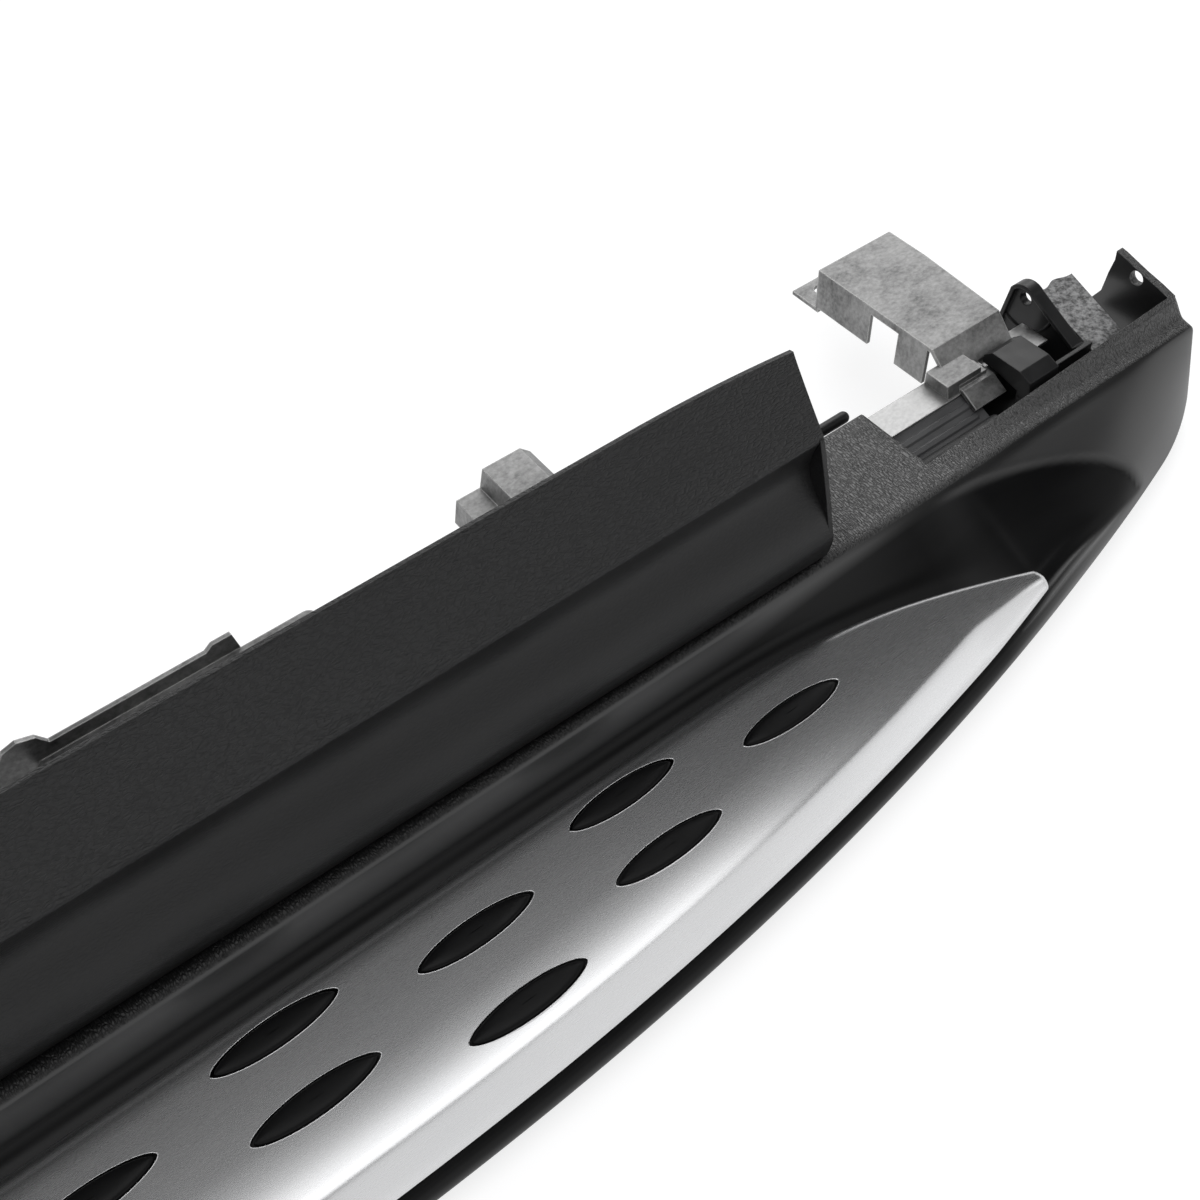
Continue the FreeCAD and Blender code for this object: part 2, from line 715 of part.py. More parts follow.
def make_screws():
    screws = []
    for x in screw_places():
        head = rod(x, deck_edge_y, screw_z, screw_head_radius, screw_head_height, (0, 1, 0))
        shank = rod(x, rail_back_y - 9, screw_z, screw_radius, deck_edge_y - rail_back_y + 9, (0, 1, 0))
        tip = Part.makeCone(screw_radius, 0.4, 3, Vector(x, rail_back_y - 9, screw_z), Vector(0, -1, 0))
        recess = hexagon(x, deck_edge_y + screw_head_height - 1.6, screw_z, 3.6, 3, (0, 1, 0))
        screws.append(head.fuse(shank).fuse(tip).cut(recess))
    return Part.makeCompound(screws)


def bolted_flange(x0, x1, top_z):
    """Upright outboard end of a bracket, flat against the moulding's skirt."""
    return box(x0, x1, deck_edge_y, deck_edge_y + sheet, rail_bottom_z + 3, top_z)


def side_wall(x, reach_y, start_y, top_z):
    """Side of a bracket, folded down from its top plate."""
    points = [(start_y, top_z), (reach_y, top_z), (reach_y, arm_bottom_z), (start_y, arm_bottom_z)]
    return prism_x(points, x, x + sheet)


def foot_holes(x, y, low, high):
    return [rod(x + side * foot_hole_pitch / 2, y, low - 1, foot_hole_radius, high - low + 2, (0, 0, 1))
            for side in (-1, 1)]


def make_end_arm():
    """Right-hand end bracket: folded sheet, welded to the end of the rail where the deck is cut away."""
    left, right = end_arm_x - end_arm_width / 2, end_arm_x + end_arm_width / 2
    waist_y = deck_edge_y + 6
    apron_y = rail_fold_y - end_apron
    path = [(foot_end_y, end_foot_z), (end_arm_reach_y - sheet, end_foot_z)]
    path += [(end_arm_reach_y - sheet, arm_top_z - sheet), (waist_y - sheet, arm_top_z - sheet)]
    path += [(rail_back_y - 8, shelf_z), (rail_fold_y - 0.5, shelf_z), (apron_y, shelf_z - 0.5 * end_apron)]
    arm = prism_x(path + inset(path, -sheet)[::-1], left, right)
    arm = arm.cut(prism_z([(right - end_taper, 60), (right + 2, 60), (right + 2, end_arm_reach_y)], 0, 60))
    arm = arm.cut(box(holder_start_x - 1, right + 5, apron_y - 5, rail_fold_y + 11, 0, shelf_z + 2 * sheet))
    for x in (left, right - sheet - end_taper):
        wall = side_wall(x, end_arm_reach_y - sheet, waist_y, arm_top_z - sheet)
        gap_y = (waist_y + end_arm_reach_y) / 2 - end_gap / 2
        gap = box(x - 1, x + sheet + 1, gap_y - end_gap / 2, gap_y + end_gap / 2,
                  0, arm_top_z - 2 * sheet)
        arm = arm.fuse(wall.cut(gap))
    foot_x = left - end_step_overhang
    step = [(rail_back_y, shelf_z), (rail_back_y, shelf_z + end_step_height)]
    step += [(rail_fold_y + 3, shelf_z + end_step_height), (rail_fold_y + 1, shelf_z)]
    step = prism_x(step, foot_x, foot_x + end_step_length)
    low = [(rail_back_y - 4, shelf_z), (rail_back_y - 4, shelf_z + 0.56 * end_step_height)]
    low += [(rail_fold_y + 2, shelf_z + 0.56 * end_step_height), (rail_fold_y + 0.5, shelf_z)]
    low = prism_x(low, foot_x + end_step_overhang, holder_start_x - 4)
    inside = box(foot_x + 2, foot_x + end_step_length - 2, rail_fold_y + 5, rail_back_y - 2, shelf_z - 1,
                 shelf_z + end_step_height - 2)
    arm = arm.fuse(step.fuse(low).cut(inside))
    for hole in foot_holes(end_arm_x, end_arm_reach_y + foot_flange / 2, end_foot_z, end_foot_z + sheet):
        arm = arm.cut(hole)
    return arm


def make_mid_arm():
    """Middle bracket: a stepped box of folded sheet bolted to the moulding's skirt."""
    left, right = mid_arm_x - mid_arm_width / 2, mid_arm_x + mid_arm_width / 2
    low_left = left - mid_step_width
    low_z = arm_top_z - mid_step_drop
    outer = [(low_left, arm_bottom_z), (low_left + 3, low_z), (left - 1, low_z), (left + 2, arm_top_z)]
    outer += [(right - mid_flare - 1, arm_top_z), (right - 1, arm_top_z - mid_flare), (right, arm_bottom_z)]
    inner = [(low_left + 2.5, arm_bottom_z), (low_left + 5, low_z - sheet), (left + 1, low_z - sheet)]
    inner += [(left + 4, arm_top_z - sheet), (right - mid_flare - 2, arm_top_z - sheet)]
    inner += [(right - 3.5, arm_top_z - mid_flare - 1), (right - 2.5, arm_bottom_z)]
    start_y = deck_edge_y
    ring = [Vector(x, start_y, z) for x, z in outer + inner[::-1]]
    length = mid_arm_reach_y - start_y
    shell = Part.Face(Part.makePolygon(ring + ring[:1])).extrude(Vector(0, length, 0))
    cover = [Vector(x, mid_arm_reach_y, z) for x, z in outer]
    cover = Part.Face(Part.makePolygon(cover + cover[:1])).extrude(Vector(0, -sheet, 0))
    arm = shell.fuse(cover)
    flange_left, flange_right = low_left - 10, right + 6
    flange = bolted_flange(flange_left, flange_right, low_z)
    arm = arm.fuse(flange)
    hole_z = (arm_top_z + arm_bottom_z) / 2
    arm = arm.cut(rod(mid_arm_x, mid_arm_reach_y - 3 * sheet, hole_z, mid_hole_radius, 6 * sheet, (0, 1, 0)))
    return bored_for_bolts(arm)


def bored_for_bolts(shape):
    for x in bracket_bolt_places():
        radius = bolt_radius + bolt_clearance
        shape = shape.cut(rod(x, deck_edge_y - 1, bracket_bolt_z, radius, 8, (0, 1, 0)))
    return shape


def make_wide_bracket():
    """Wide bracket: a flat top plate with its inboard edge turned up, stiffened by two bumps."""
    left, right = wide_x - wide_width / 2, wide_x + wide_width / 2
    under = wide_top_z - sheet
    plate = box(left, right, deck_edge_y, wide_reach_y, under, wide_top_z)
    plate = plate.makeFillet(5.0, [e for e in plate.Edges if upright_at(e, wide_reach_y)])
    web_left, web_right = left - 50, right - 40
    low, high = arm_bottom_z, wide_top_z + wide_upstand
    web = [(web_left, low), (web_left, high + 2), (left - 12, high + 3), (left - 8, high + 8)]
    web += [(left - 1, high + 10), (left + 7, high + 7), (left + 11, high)]
    web += [(web_right - 14, high), (web_right - 10, high + 3)]
    web += [(web_right, high + 3), (web_right + 3, wide_top_z - 8), (web_right + 3, low)]
    corners = [Vector(x, wide_reach_y, z) for x, z in web]
    web = Part.Face(Part.makePolygon(corners + corners[:1])).extrude(Vector(0, sheet, 0))
    bracket = plate.fuse(web)
    for x in (left + 12, right - 12 - sheet):
        bracket = bracket.fuse(side_wall(x, wide_reach_y, deck_edge_y, under))
    bracket = bracket.fuse(bolted_flange(left, right, under))
    for hole in foot_holes(wide_x, (deck_edge_y + wide_reach_y) / 2 + 8, under, wide_top_z):
        bracket = bracket.cut(hole)
    return bored_for_bolts(bracket)


def upright_at(e, y):
    a, b = e.Vertexes[0].Point, e.Vertexes[-1].Point
    return abs(a.y - y) < 0.01 and abs(b.y - y) < 0.01 and abs(a.x - b.x) < 0.01


def make_bolts():
    bolts, nuts, washers = [], [], []
    head_y = deck_edge_y + sheet + washer_thickness
    nut_y = rail_back_y - rail_wall - nut_height
    for x in bracket_bolt_places():
        z = bracket_bolt_z
        head = hexagon(x, head_y, z, bolt_head_flats, bolt_head_height, (0, 1, 0))
        shank = rod(x, nut_y - 3, z, bolt_radius, head_y - nut_y + 3, (0, 1, 0))
        bolts.append(head.fuse(shank))
        nut = hexagon(x, nut_y, z, bolt_head_flats, nut_height, (0, 1, 0))
        nuts.append(nut.cut(rod(x, nut_y - 1, z, bolt_radius, nut_height + 2, (0, 1, 0))))
        ring = rod(x, deck_edge_y + sheet, z, washer_radius, washer_thickness, (0, 1, 0))
        washers.append(ring.cut(rod(x, deck_edge_y, z, bolt_radius + 0.2, 10, (0, 1, 0))))
    return Part.makeCompound(bolts), Part.makeCompound(nuts), Part.makeCompound(washers)


# Tread plate fixings: short studs welded under the plate, held below the floor by spring nuts.
plate_stud_y = (stud_row_y[1] + stud_row_y[2]) / 2
floor_under_z = -floor_depth - moulding_wall


def plate_stud_places():
    one = [(i + 0.5) * stud_pitch for i in range(0, stud_columns // 2, 2)]
    return [-x for x in one[::-1]] + one


def make_plate_studs():
    top = -plate_thickness
    low = floor_under_z - plate_stud_tail
    return Part.makeCompound([rod(x, plate_stud_y, low, plate_stud_radius, top - low, (0, 0, 1))
                              for x in plate_stud_places()])


def make_plate_nuts():
    nuts = []
    for x in plate_stud_places():
        ring = rod(x, plate_stud_y, floor_under_z - 2.5, 8.0, 2.5, (0, 0, 1))
        hub = rod(x, plate_stud_y, floor_under_z - 6, 4.6, 4, (0, 0, 1))
        bore = rod(x, plate_stud_y, floor_under_z - 7, plate_stud_radius, 10, (0, 0, 1))
        nuts.append(ring.fuse(hub).cut(bore))
    return Part.makeCompound(nuts)


def make_end_holder():
    """Black moulded piece at each end: a tray under the cut-out with a bar, a hump and an upright ear."""
    bar_front, bar_back = strip_y, rail_front_y - 1
    low, high = tray_z + tray_thickness, shelf_z - 4
    tray = box(channel_end + 1, tray_end_x, bar_front, rail_back_y - rail_wall - 0.5, tray_z, low)
    bar = box(holder_start_x, ear_x + ear_thickness, bar_front, bar_back, low, high)
    lip = [(bar_back - 2, low), (bar_back - 2, holder_lip_z)]
    lip += [(bar_back + 0.5, holder_lip_z), (bar_back + 0.5, low)]
    lip = prism_x(lip, holder_start_x + hump_length, ear_x + ear_thickness)
    ledge = box(ear_x + ear_thickness, ear_x + 3 * ear_thickness, bar_front, bar_front + ledge_width,
                low, end_plate_z)
    hump_z = shelf_z + 12.0
    hump = [(bar_front, high - 4), (bar_front + 4, hump_z - 3), (bar_front + 12, hump_z)]
    hump += [(rail_fold_y + 4, hump_z), (rail_fold_y + 9, shelf_z + sheet + 5)]
    hump += [(rail_fold_y + 9, shelf_z + sheet), (rail_fold_y, shelf_z + sheet)]
    hump += [(rail_front_y, shelf_z - 1), (rail_front_y, high - 4)]
    hump = prism_x(hump, holder_start_x + 1, holder_start_x + hump_length)
    top = Vector(ear_x, ear_hole_y + 1.0, ear_hole_z + 10)
    left = Vector(ear_x, ear_hole_y + 9.5, ear_hole_z + 4.5)
    right = Vector(ear_x, ear_hole_y - 7, ear_hole_z + 7.5)
    line = [right, Vector(ear_x, bar_back + 4.5, high + 4), Vector(ear_x, bar_back + 0.5, holder_lip_z),
            Vector(ear_x, bar_back - 2, holder_lip_z), Vector(ear_x, bar_back - 2, high),
            Vector(ear_x, bar_front, high), Vector(ear_x, bar_front, tray_z),
            Vector(ear_x, ear_hole_y + 16, tray_z), left]
    edges = [Part.Arc(left, top, right).toShape()]
    edges += [Part.makeLine(a, b) for a, b in zip(line, line[1:])]
    face = Part.Face(Part.Wire(edges))
    ear = face.extrude(Vector(ear_thickness, 0, 0))
    middle = face.makeOffset2D(-ear_rim_width)
    middle.translate(Vector(-ear_rim_depth, 0, 0))
    middle = middle.extrude(Vector(ear_rim_depth, 0, 0))
    rim = face.extrude(Vector(-ear_rim_depth, 0, 0)).cut(middle)
    bead = rod(ear_x - 1, ear_hole_y, ear_hole_z, ear_bead_radius, 1, (1, 0, 0))
    bead = bead.cut(rod(ear_x - 1, ear_hole_y, ear_hole_z, ear_bead_radius - 1.4, 1, (1, 0, 0)))
    bore = rod(ear_x - 5, ear_hole_y, ear_hole_z, ear_hole_radius, 20, (1, 0, 0))
    whole = tray
    for piece in (bar, lip, ledge, hump, ear, rim, bead.common(middle)):
        whole = whole.fuse(piece)
    return whole.cut(bore)


def make_end_plate():
    """Rough pressed plate between the ear and the end wall, lying on the end holder's ledge."""
    z = end_plate_z
    start, stop = end_plate_start_x, end_plate_start_x + end_plate_width
    front, back = strip_y + 4.0, deck_edge_y + 12
    wave = 1.6
    row = [Vector(start + end_plate_width * k, back + side * wave, z)
           for k, side in ((0.0, 0.6), (0.25, -0.6), (0.5, 0.8), (0.75, -0.4), (1.0, -1.0))]
    wavy = Part.BSplineCurve()
    wavy.interpolate(row)
    left_x = ear_x + ear_thickness + end_plate_gap
    rest = [row[-1], Vector(left_x + end_plate_width, front + 4, z), Vector(left_x, front, z), row[0]]
    edges = [wavy.toShape()] + [Part.makeLine(a, b) for a, b in zip(rest, rest[1:])]
    return Part.Face(Part.Wire(edges)).extrude(Vector(0, 0, end_plate_thickness))


def make_peg():
    body = rod(peg_x - 13, peg_y, peg_z, peg_radius, peg_length + 13 - peg_radius, (1, 0, 0))
    tip = Part.makeSphere(peg_radius, Vector(peg_x + peg_length - peg_radius, peg_y, peg_z))
    collar = rod(peg_x, peg_y, peg_z, peg_radius + 1.6, 2.2, (1, 0, 0))
    return body.fuse(tip).fuse(collar)


def make_edge_profile():
    """Rubber bulb seal between the strip's skirt and the rail."""
    y = (strip_y + rail_front_y) / 2
    z = rail_front_z - 1.0
    radius = (rail_front_y - strip_y) / 2
    outer = rod(notch_x + 2, y, z, radius, profile_length, (1, 0, 0))
    return outer.cut(rod(notch_x, y, z, radius - profile_wall, profile_length + 5, (1, 0, 0)))


def export(name, shape):
    moved = shape.copy()
    moved.translate(shift)
    moved.exportStep("parts/" + name + ".step")
    pieces[name] = moved
    box_ = moved.optimalBoundingBox(True)
    print(name, len(moved.Solids), moved.isValid(), round(moved.Volume / 1000, 1),
          [round(v, 1) for v in (box_.XMin, box_.XMax, box_.YMin, box_.YMax, box_.ZMin, box_.ZMax)])


def export_pair(name, shape):
    export(name + "_right", shape)
    export(name + "_left", mirrored(shape))


export("board_moulding", make_moulding())
export("step_plate", make_plate())
export("stud_mat", make_mat())
export("rocker_trim", make_trim())
export("trim_seal", make_seal())
export("trim_clips", make_trim_clips())
export("body_clips", make_body_clips())
export("carrier_rail", make_rail())
export("rail_channel", make_channel())
export("skirt_screws", make_screws())
export_pair("end_arm", make_end_arm())
export_pair("mid_arm", make_mid_arm())
export_pair("wide_bracket", make_wide_bracket())
bolts, nuts, washers = make_bolts()
export("bracket_bolts", bolts)
export("bracket_nuts", nuts)
export("bracket_washers", washers)
export("plate_studs", make_plate_studs())
export("plate_nuts", make_plate_nuts())
export_pair("end_holder", make_end_holder())
export_pair("end_plate", make_end_plate())
export_pair("locating_peg", make_peg())
export_pair("edge_profile", make_edge_profile())
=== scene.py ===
import math

import bmesh
import bpy
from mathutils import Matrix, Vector
from mathutils.kdtree import KDTree


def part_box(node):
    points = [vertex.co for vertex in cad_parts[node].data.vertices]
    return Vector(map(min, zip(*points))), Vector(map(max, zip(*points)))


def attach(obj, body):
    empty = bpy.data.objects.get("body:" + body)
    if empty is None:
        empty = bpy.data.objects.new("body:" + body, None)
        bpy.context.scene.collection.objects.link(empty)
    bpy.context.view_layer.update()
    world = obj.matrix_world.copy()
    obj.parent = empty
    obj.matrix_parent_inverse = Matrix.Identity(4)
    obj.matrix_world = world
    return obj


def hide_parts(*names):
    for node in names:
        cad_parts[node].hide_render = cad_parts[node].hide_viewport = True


# Side step board for a tall car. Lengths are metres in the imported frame: X along the board, Y towards
# the car, Z up. The tread plate's top is the level that heights on the board are measured from.
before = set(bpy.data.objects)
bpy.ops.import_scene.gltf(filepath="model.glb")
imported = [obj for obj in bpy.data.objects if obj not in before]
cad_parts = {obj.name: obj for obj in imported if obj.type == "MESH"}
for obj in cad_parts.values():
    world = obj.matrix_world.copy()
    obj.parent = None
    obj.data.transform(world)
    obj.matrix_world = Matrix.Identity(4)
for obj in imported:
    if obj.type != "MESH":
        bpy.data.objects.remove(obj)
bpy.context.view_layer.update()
scene = bpy.context.scene


# Camera. It stands above the board's outboard side, left of the photographed end, and looks down
# along the board; place, turn and lens come from the stud tips and the straight edges in the photograph.
camera_place = Vector((0.35708, -0.32524, 0.58344))
camera_turn = [math.radians(a) for a in (38.6137, 2.4562, -37.0908)]
camera_lens = 41.088

camera_data = bpy.data.cameras.new("camera")
camera_data.lens = camera_lens
camera_data.sensor_width = 36.0
camera_data.clip_start = 0.01
camera = bpy.data.objects.new("camera", camera_data)
camera.location = camera_place
camera.rotation_euler = camera_turn
scene.collection.objects.link(camera)
scene.camera = camera
scene.view_settings.view_transform = "Standard"


# Studio. A white room with a dark ceiling: lens and glass see plain white, gloss sees white walls that
# fall off to the ceiling, matt surfaces get a weaker sky. A long softbox hangs over the board, a broad one
# beyond its end is kept off the metal plate, and a narrow one lights the plate's outboard face alone.
sky_strength = 0.4
walls_end, ceiling_start, ceiling_glow = 0.50, 0.64, 0.04
floor_size = 12.0
near_floor, far_floor, near_glow, far_glow = 1.2, 3.5, 0.78, 0.97
white = (1.0, 1.0, 1.0, 1.0)


def put(made, kind, wires=(), **settings):
    """Adds a node to a material or a world; wires maps its inputs to values or other outputs."""
    new = made.node_tree.nodes.new(kind)
    for key, value in settings.items():
        setattr(new, key, value)
    for socket, source in dict(wires).items():
        if isinstance(source, bpy.types.NodeSocket):
            made.node_tree.links.new(source, new.inputs[socket])
        else:
            new.inputs[socket].default_value = source
    return new


world = bpy.data.worlds.new("white_room")
scene.world = world
world.use_nodes = True
world.node_tree.nodes.clear()
path = put(world, "ShaderNodeLightPath")
see_white = put(world, "ShaderNodeMath", {0: path.outputs["Is Camera Ray"],
                                          1: path.outputs["Is Transmission Ray"]}, operation="MAXIMUM")
toward = put(world, "ShaderNodeTexCoord")
axes = put(world, "ShaderNodeSeparateXYZ", {0: toward.outputs["Generated"]})
ceiling = put(world, "ShaderNodeMapRange", {"Value": axes.outputs["Z"], "From Min": walls_end,
                                            "From Max": ceiling_start, "To Min": 1.0,
                                            "To Max": ceiling_glow}, interpolation_type="SMOOTHSTEP")
room_light = put(world, "ShaderNodeBackground", {"Color": (0.94, 0.96, 1.0, 1.0), "Strength": sky_strength})
room_gloss = put(world, "ShaderNodeBackground", {"Color": white, "Strength": ceiling.outputs[0]})
room_white = put(world, "ShaderNodeBackground", {"Color": white})
gloss_mix = put(world, "ShaderNodeMixShader", {0: path.outputs["Is Glossy Ray"], 1: room_light.outputs[0],
                                               2: room_gloss.outputs[0]})
room_mix = put(world, "ShaderNodeMixShader", {0: see_white.outputs[0], 1: gloss_mix.outputs[0],
                                              2: room_white.outputs[0]})
put(world, "ShaderNodeOutputWorld", {"Surface": room_mix.outputs[0]})


def softbox(name, place, aim, width, height, power):
    """Rectangular lamp that stands at a place and faces another."""
    data = bpy.data.lights.new(name, "AREA")
    data.shape = "RECTANGLE"
    data.size = width
    data.size_y = height
    data.energy = power
    lamp = bpy.data.objects.new(name, data)
    lamp.location = place
    lamp.rotation_euler = (Vector(aim) - Vector(place)).to_track_quat("-Z", "Y").to_euler()
    scene.collection.objects.link(lamp)
    return lamp


softbox("softbox_top", (-0.1, -0.20, 1.7), (-0.1, -0.20, 0.0), 2.8, 1.06, 17.5)
back_lamp = softbox("softbox_back", (2.10, 1.70, 2.05), (0.75, 0.0, 0.05), 2.2, 1.8, 36.0)
face_lamp = softbox("softbox_front", (0.83, -0.70, 0.75), (0.70, -0.12, 0.03), 1.5, 0.5, 2.3)

# The floor is pale grey to the light. Seen, it adds a glow to it that grows outwards, so that it keeps a
# faint shadow under the board and is white further off.
floor_mesh = bpy.data.meshes.new("floor")
half_floor = floor_size / 2
floor_mesh.from_pydata([(-half_floor, -half_floor, 0), (half_floor, -half_floor, 0),
                        (half_floor, half_floor, 0), (-half_floor, half_floor, 0)], [], [(0, 1, 2, 3)])
floor = bpy.data.objects.new("floor", floor_mesh)
scene.collection.objects.link(floor)
floor_paint = bpy.data.materials.new("floor_paint")
floor_paint.use_nodes = True
floor_paint.node_tree.nodes.clear()
path = put(floor_paint, "ShaderNodeLightPath")
sees = put(floor_paint, "ShaderNodeMath", {0: path.outputs["Is Camera Ray"],
                                           1: path.outputs["Is Glossy Ray"]}, operation="MAXIMUM")
sees_all = put(floor_paint, "ShaderNodeMath", {0: sees.outputs[0],
                                               1: path.outputs["Is Transmission Ray"]}, operation="MAXIMUM")
matt = put(floor_paint, "ShaderNodeBsdfDiffuse", {"Color": (0.8, 0.8, 0.8, 1.0)})
pale = put(floor_paint, "ShaderNodeBsdfDiffuse", {"Color": (0.32, 0.32, 0.32, 1.0)})
floor_place = put(floor_paint, "ShaderNodeTexCoord")
far = put(floor_paint, "ShaderNodeVectorMath", {0: floor_place.outputs["Object"]}, operation="LENGTH")
brighter = put(floor_paint, "ShaderNodeMapRange", {"Value": far.outputs["Value"], "From Min": near_floor,
                                                   "From Max": far_floor, "To Min": near_glow,
                                                   "To Max": far_glow})
bright = put(floor_paint, "ShaderNodeEmission", {"Color": white, "Strength": brighter.outputs[0]})
seen = put(floor_paint, "ShaderNodeAddShader", {0: pale.outputs[0], 1: bright.outputs[0]})
floor_mix = put(floor_paint, "ShaderNodeMixShader", {0: sees_all.outputs[0], 1: matt.outputs[0],
                                                     2: seen.outputs[0]})
put(floor_paint, "ShaderNodeOutputMaterial", {"Surface": floor_mix.outputs[0]})
floor_mesh.materials.append(floor_paint)


# Board moulding. One long black moulding: a grained deck and ridge, a smooth trough and floor for the
# tread plate, a rolled outer lip that swells into a plain wing at each end, and an upright end wall.
# Its section is drawn at many places along the length from the same measures as the solid.
board_low, board_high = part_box("board_moulding")
half_length = board_high[0]
outer_y = board_low[1]
tread_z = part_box("step_plate")[1][2]
deck_rise = 0.020
ridge_y = outer_y + 0.119
ridge_radius = 0.006
strip_y = ridge_y + 0.018
deck_edge_y = ridge_y + 0.068
nose_drop = 0.0255
floor_drop = 0.007
under_run = 0.018
wall = 0.003
notch_start = half_length - 0.195
bank = 0.011
end_wall = 0.0055
wall_x = half_length - end_wall
wing_start = half_length - 0.090
bow_start = half_length - 0.595
bow_radius = 1.8
corner_length = 0.060
corner_radius = 0.18
lip_width = 0.006
plate_gap = 0.0015
plate_inner_line = outer_y + 0.105
plate_straight = half_length - 0.375
plate_bow = 0.393
bevel_width = 0.015
trough_width = 0.007
end_round = 0.003
deck_z = tread_z + deck_rise


def board_edge(s):
    """Outboard edge of the board at a distance s from its middle: straight, bowed, then turned in."""
    bow = max(0.0, s - bow_start)
    turn = max(0.0, s - (half_length - corner_length))
    return outer_y + bow ** 2 / (2 * bow_radius) + turn ** 2 / (2 * corner_radius)


def plate_inner(s):
    """Inboard edge of the tread plate, straight and then bowed towards the tip."""
    return plate_inner_line - max(0.0, s - plate_straight) ** 2 / (2 * plate_bow)


def plate_outer(s):
    """Outboard edge of the tread plate, inside the board's lip."""
    return board_edge(s) + lip_width


def place_of_width(width):
    """Distance from the middle at which the tread plate has narrowed to a width."""
    low, high = plate_straight, half_length
    for _ in range(40):
        middle = (low + high) / 2
        if plate_inner(middle) - plate_outer(middle) > width:
            low = middle
        else:
            high = middle
    return low


def mix(a, b, k):
    """Point that lies a share k of the way from a to b."""
    return tuple(p + (q - p) * k for p, q in zip(a, b))


def ease(value, start, end):
    """Rises smoothly from 0 at the start to 1 at the end."""
    k = min(1.0, max(0.0, (value - start) / (end - start)))
    return k * k * (3 - 2 * k)


plate_tip = place_of_width(0.0)


def board_skin(s):
    """Outer line of the moulding from the strip's inboard edge over ridge and lip to the ground."""
    y_edge = board_edge(s)
    rise = bank * min(1.0, max(0.0, (s - notch_start) / (wall_x - notch_start)))
    trough_y = max(plate_inner(s) + trough_width, plate_outer(s) + plate_gap + lip_width * 2.4)
    plate_y = plate_outer(s)
    floor_y = min(plate_y + bevel_width + plate_gap, (trough_y + plate_y) / 2)
    ridge = (ridge_y + 0.1 * ridge_radius, deck_rise - 0.4 * ridge_radius)
    trough = (trough_y, -floor_drop)
    hollow = [ridge] + [mix(ridge, trough, k) for k in (0.12, 0.24, 0.36, 0.48)]
    hollow += [trough, (floor_y, -floor_drop)]
    foot_z = -floor_drop - (floor_y - plate_y) * 0.5
    lip_z = -0.6 * nose_drop
    hollow += [(plate_y - plate_gap, foot_z), (plate_y - plate_gap, lip_z)]
    hollow += [(y_edge + 0.4 * lip_width, lip_z - 0.0014), (y_edge + 0.1 * lip_width, lip_z - 0.004)]
    hollow += [(y_edge, -nose_drop)]
    late = ease(s, wing_start, half_length)
    width = ridge_y - y_edge
    start = (ridge_y, deck_rise - 0.2 * ridge_radius)
    control = (y_edge + (0.2 + 0.3 * late) * width, deck_rise * 0.5 * (1 - late))
    finish = (y_edge, -nose_drop)
    wing = []
    for u in (0.0, 0.13, 0.28, 0.45, 0.62, 0.72, 0.8, 0.86, 0.9, 0.94, 0.975, 1.0):
        wing.append(mix(mix(start, control, u), mix(control, finish, u), u))
    k = ease(s, plate_tip, wing_start)
    skin = [mix(a, b, k) for a, b in zip(hollow, wing)]
    top = [(strip_y, deck_rise + rise), (strip_y - 0.002, deck_rise + rise * 0.85)]
    top += [(ridge_y + 1.6 * ridge_radius, deck_rise + rise * 0.1), (ridge_y + ridge_radius, deck_rise)]
    top += [(ridge_y + 0.55 * ridge_radius, deck_rise - 0.08 * ridge_radius)]
    low = (nose_drop + tread_z) / 2
    return top + skin + [(y_edge + 0.4 * under_run, -low), (y_edge + 0.9 * under_run, -tread_z + 0.002),
                         (y_edge + under_run, -tread_z)]


def softened(points):
    """Cuts the corners of an open line twice, with both ends kept."""
    for _ in range(2):
        cut = [points[0]]
        for a, b in zip(points, points[1:]):
            cut += [mix(a, b, 0.25), mix(a, b, 0.75)]
        points = cut + [points[-1]]
    return points


def drawn_in(points, distance):
    """Moves an open line sideways, inwards where the distance is positive."""
    moved = []
    for i, (y, z) in enumerate(points):
        ya, za = points[max(0, i - 1)]
        yb, zb = points[min(len(points) - 1, i + 1)]
        run = math.hypot(yb - ya, zb - za) or 1.0
        moved.append((y - (zb - za) / run * distance, z + (yb - ya) / run * distance))
    return moved


def along(start, end, step):
    """Even places from start to end, about a step apart."""
    count = max(1, round((end - start) / step))
    return [start + (end - start) * i / count for i in range(count + 1)]


def both_sides(places):
    """Places right of the middle, and the same ones left of it."""
    return [-s for s in reversed(places)] + [s for s in places if s > 0]


def mesh_object(name, vertices, faces):
    """Smooth-shaded object from points and faces."""
    data = bpy.data.meshes.new(name)
    data.from_pydata(vertices, [], faces)
    made = bpy.data.objects.new(name, data)
    scene.collection.objects.link(made)
    data.shade_smooth()
    return made


def lattice(name, rows):
    """Smooth sheet through rows of points that all have the same length."""
    wide = len(rows[0])
    faces = []
    for r in range(len(rows) - 1):
        for c in range(wide - 1):
            a = r * wide + c
            faces.append((a, a + 1, a + 1 + wide, a + wide))
    return mesh_object(name, [v for row in rows for v in row], faces)


def prism(name, outline, axis, start, end):
    """Closed block from an outline in the plane square to an axis (0 for x, 1 for y, 2 for z)."""
    place = [lambda a, b, c: (c, a, b), lambda a, b, c: (a, c, b), lambda a, b, c: (a, b, c)][axis]
    count = len(outline)
    vertices = [place(a, b, start) for a, b in outline] + [place(a, b, end) for a, b in outline]
    faces = [tuple(range(count)), tuple(range(2 * count - 1, count - 1, -1))]
    faces += [(i, (i + 1) % count, count + (i + 1) % count, count + i) for i in range(count)]
    return outward(mesh_object(name, vertices, faces))


def facing(piece, direction):
    """Turns an open sheet over if it faces away from a direction."""
    total = sum(p.normal.dot(Vector(direction)) * p.area for p in piece.data.polygons)
    if total < 0:
        piece.data.flip_normals()
    return piece


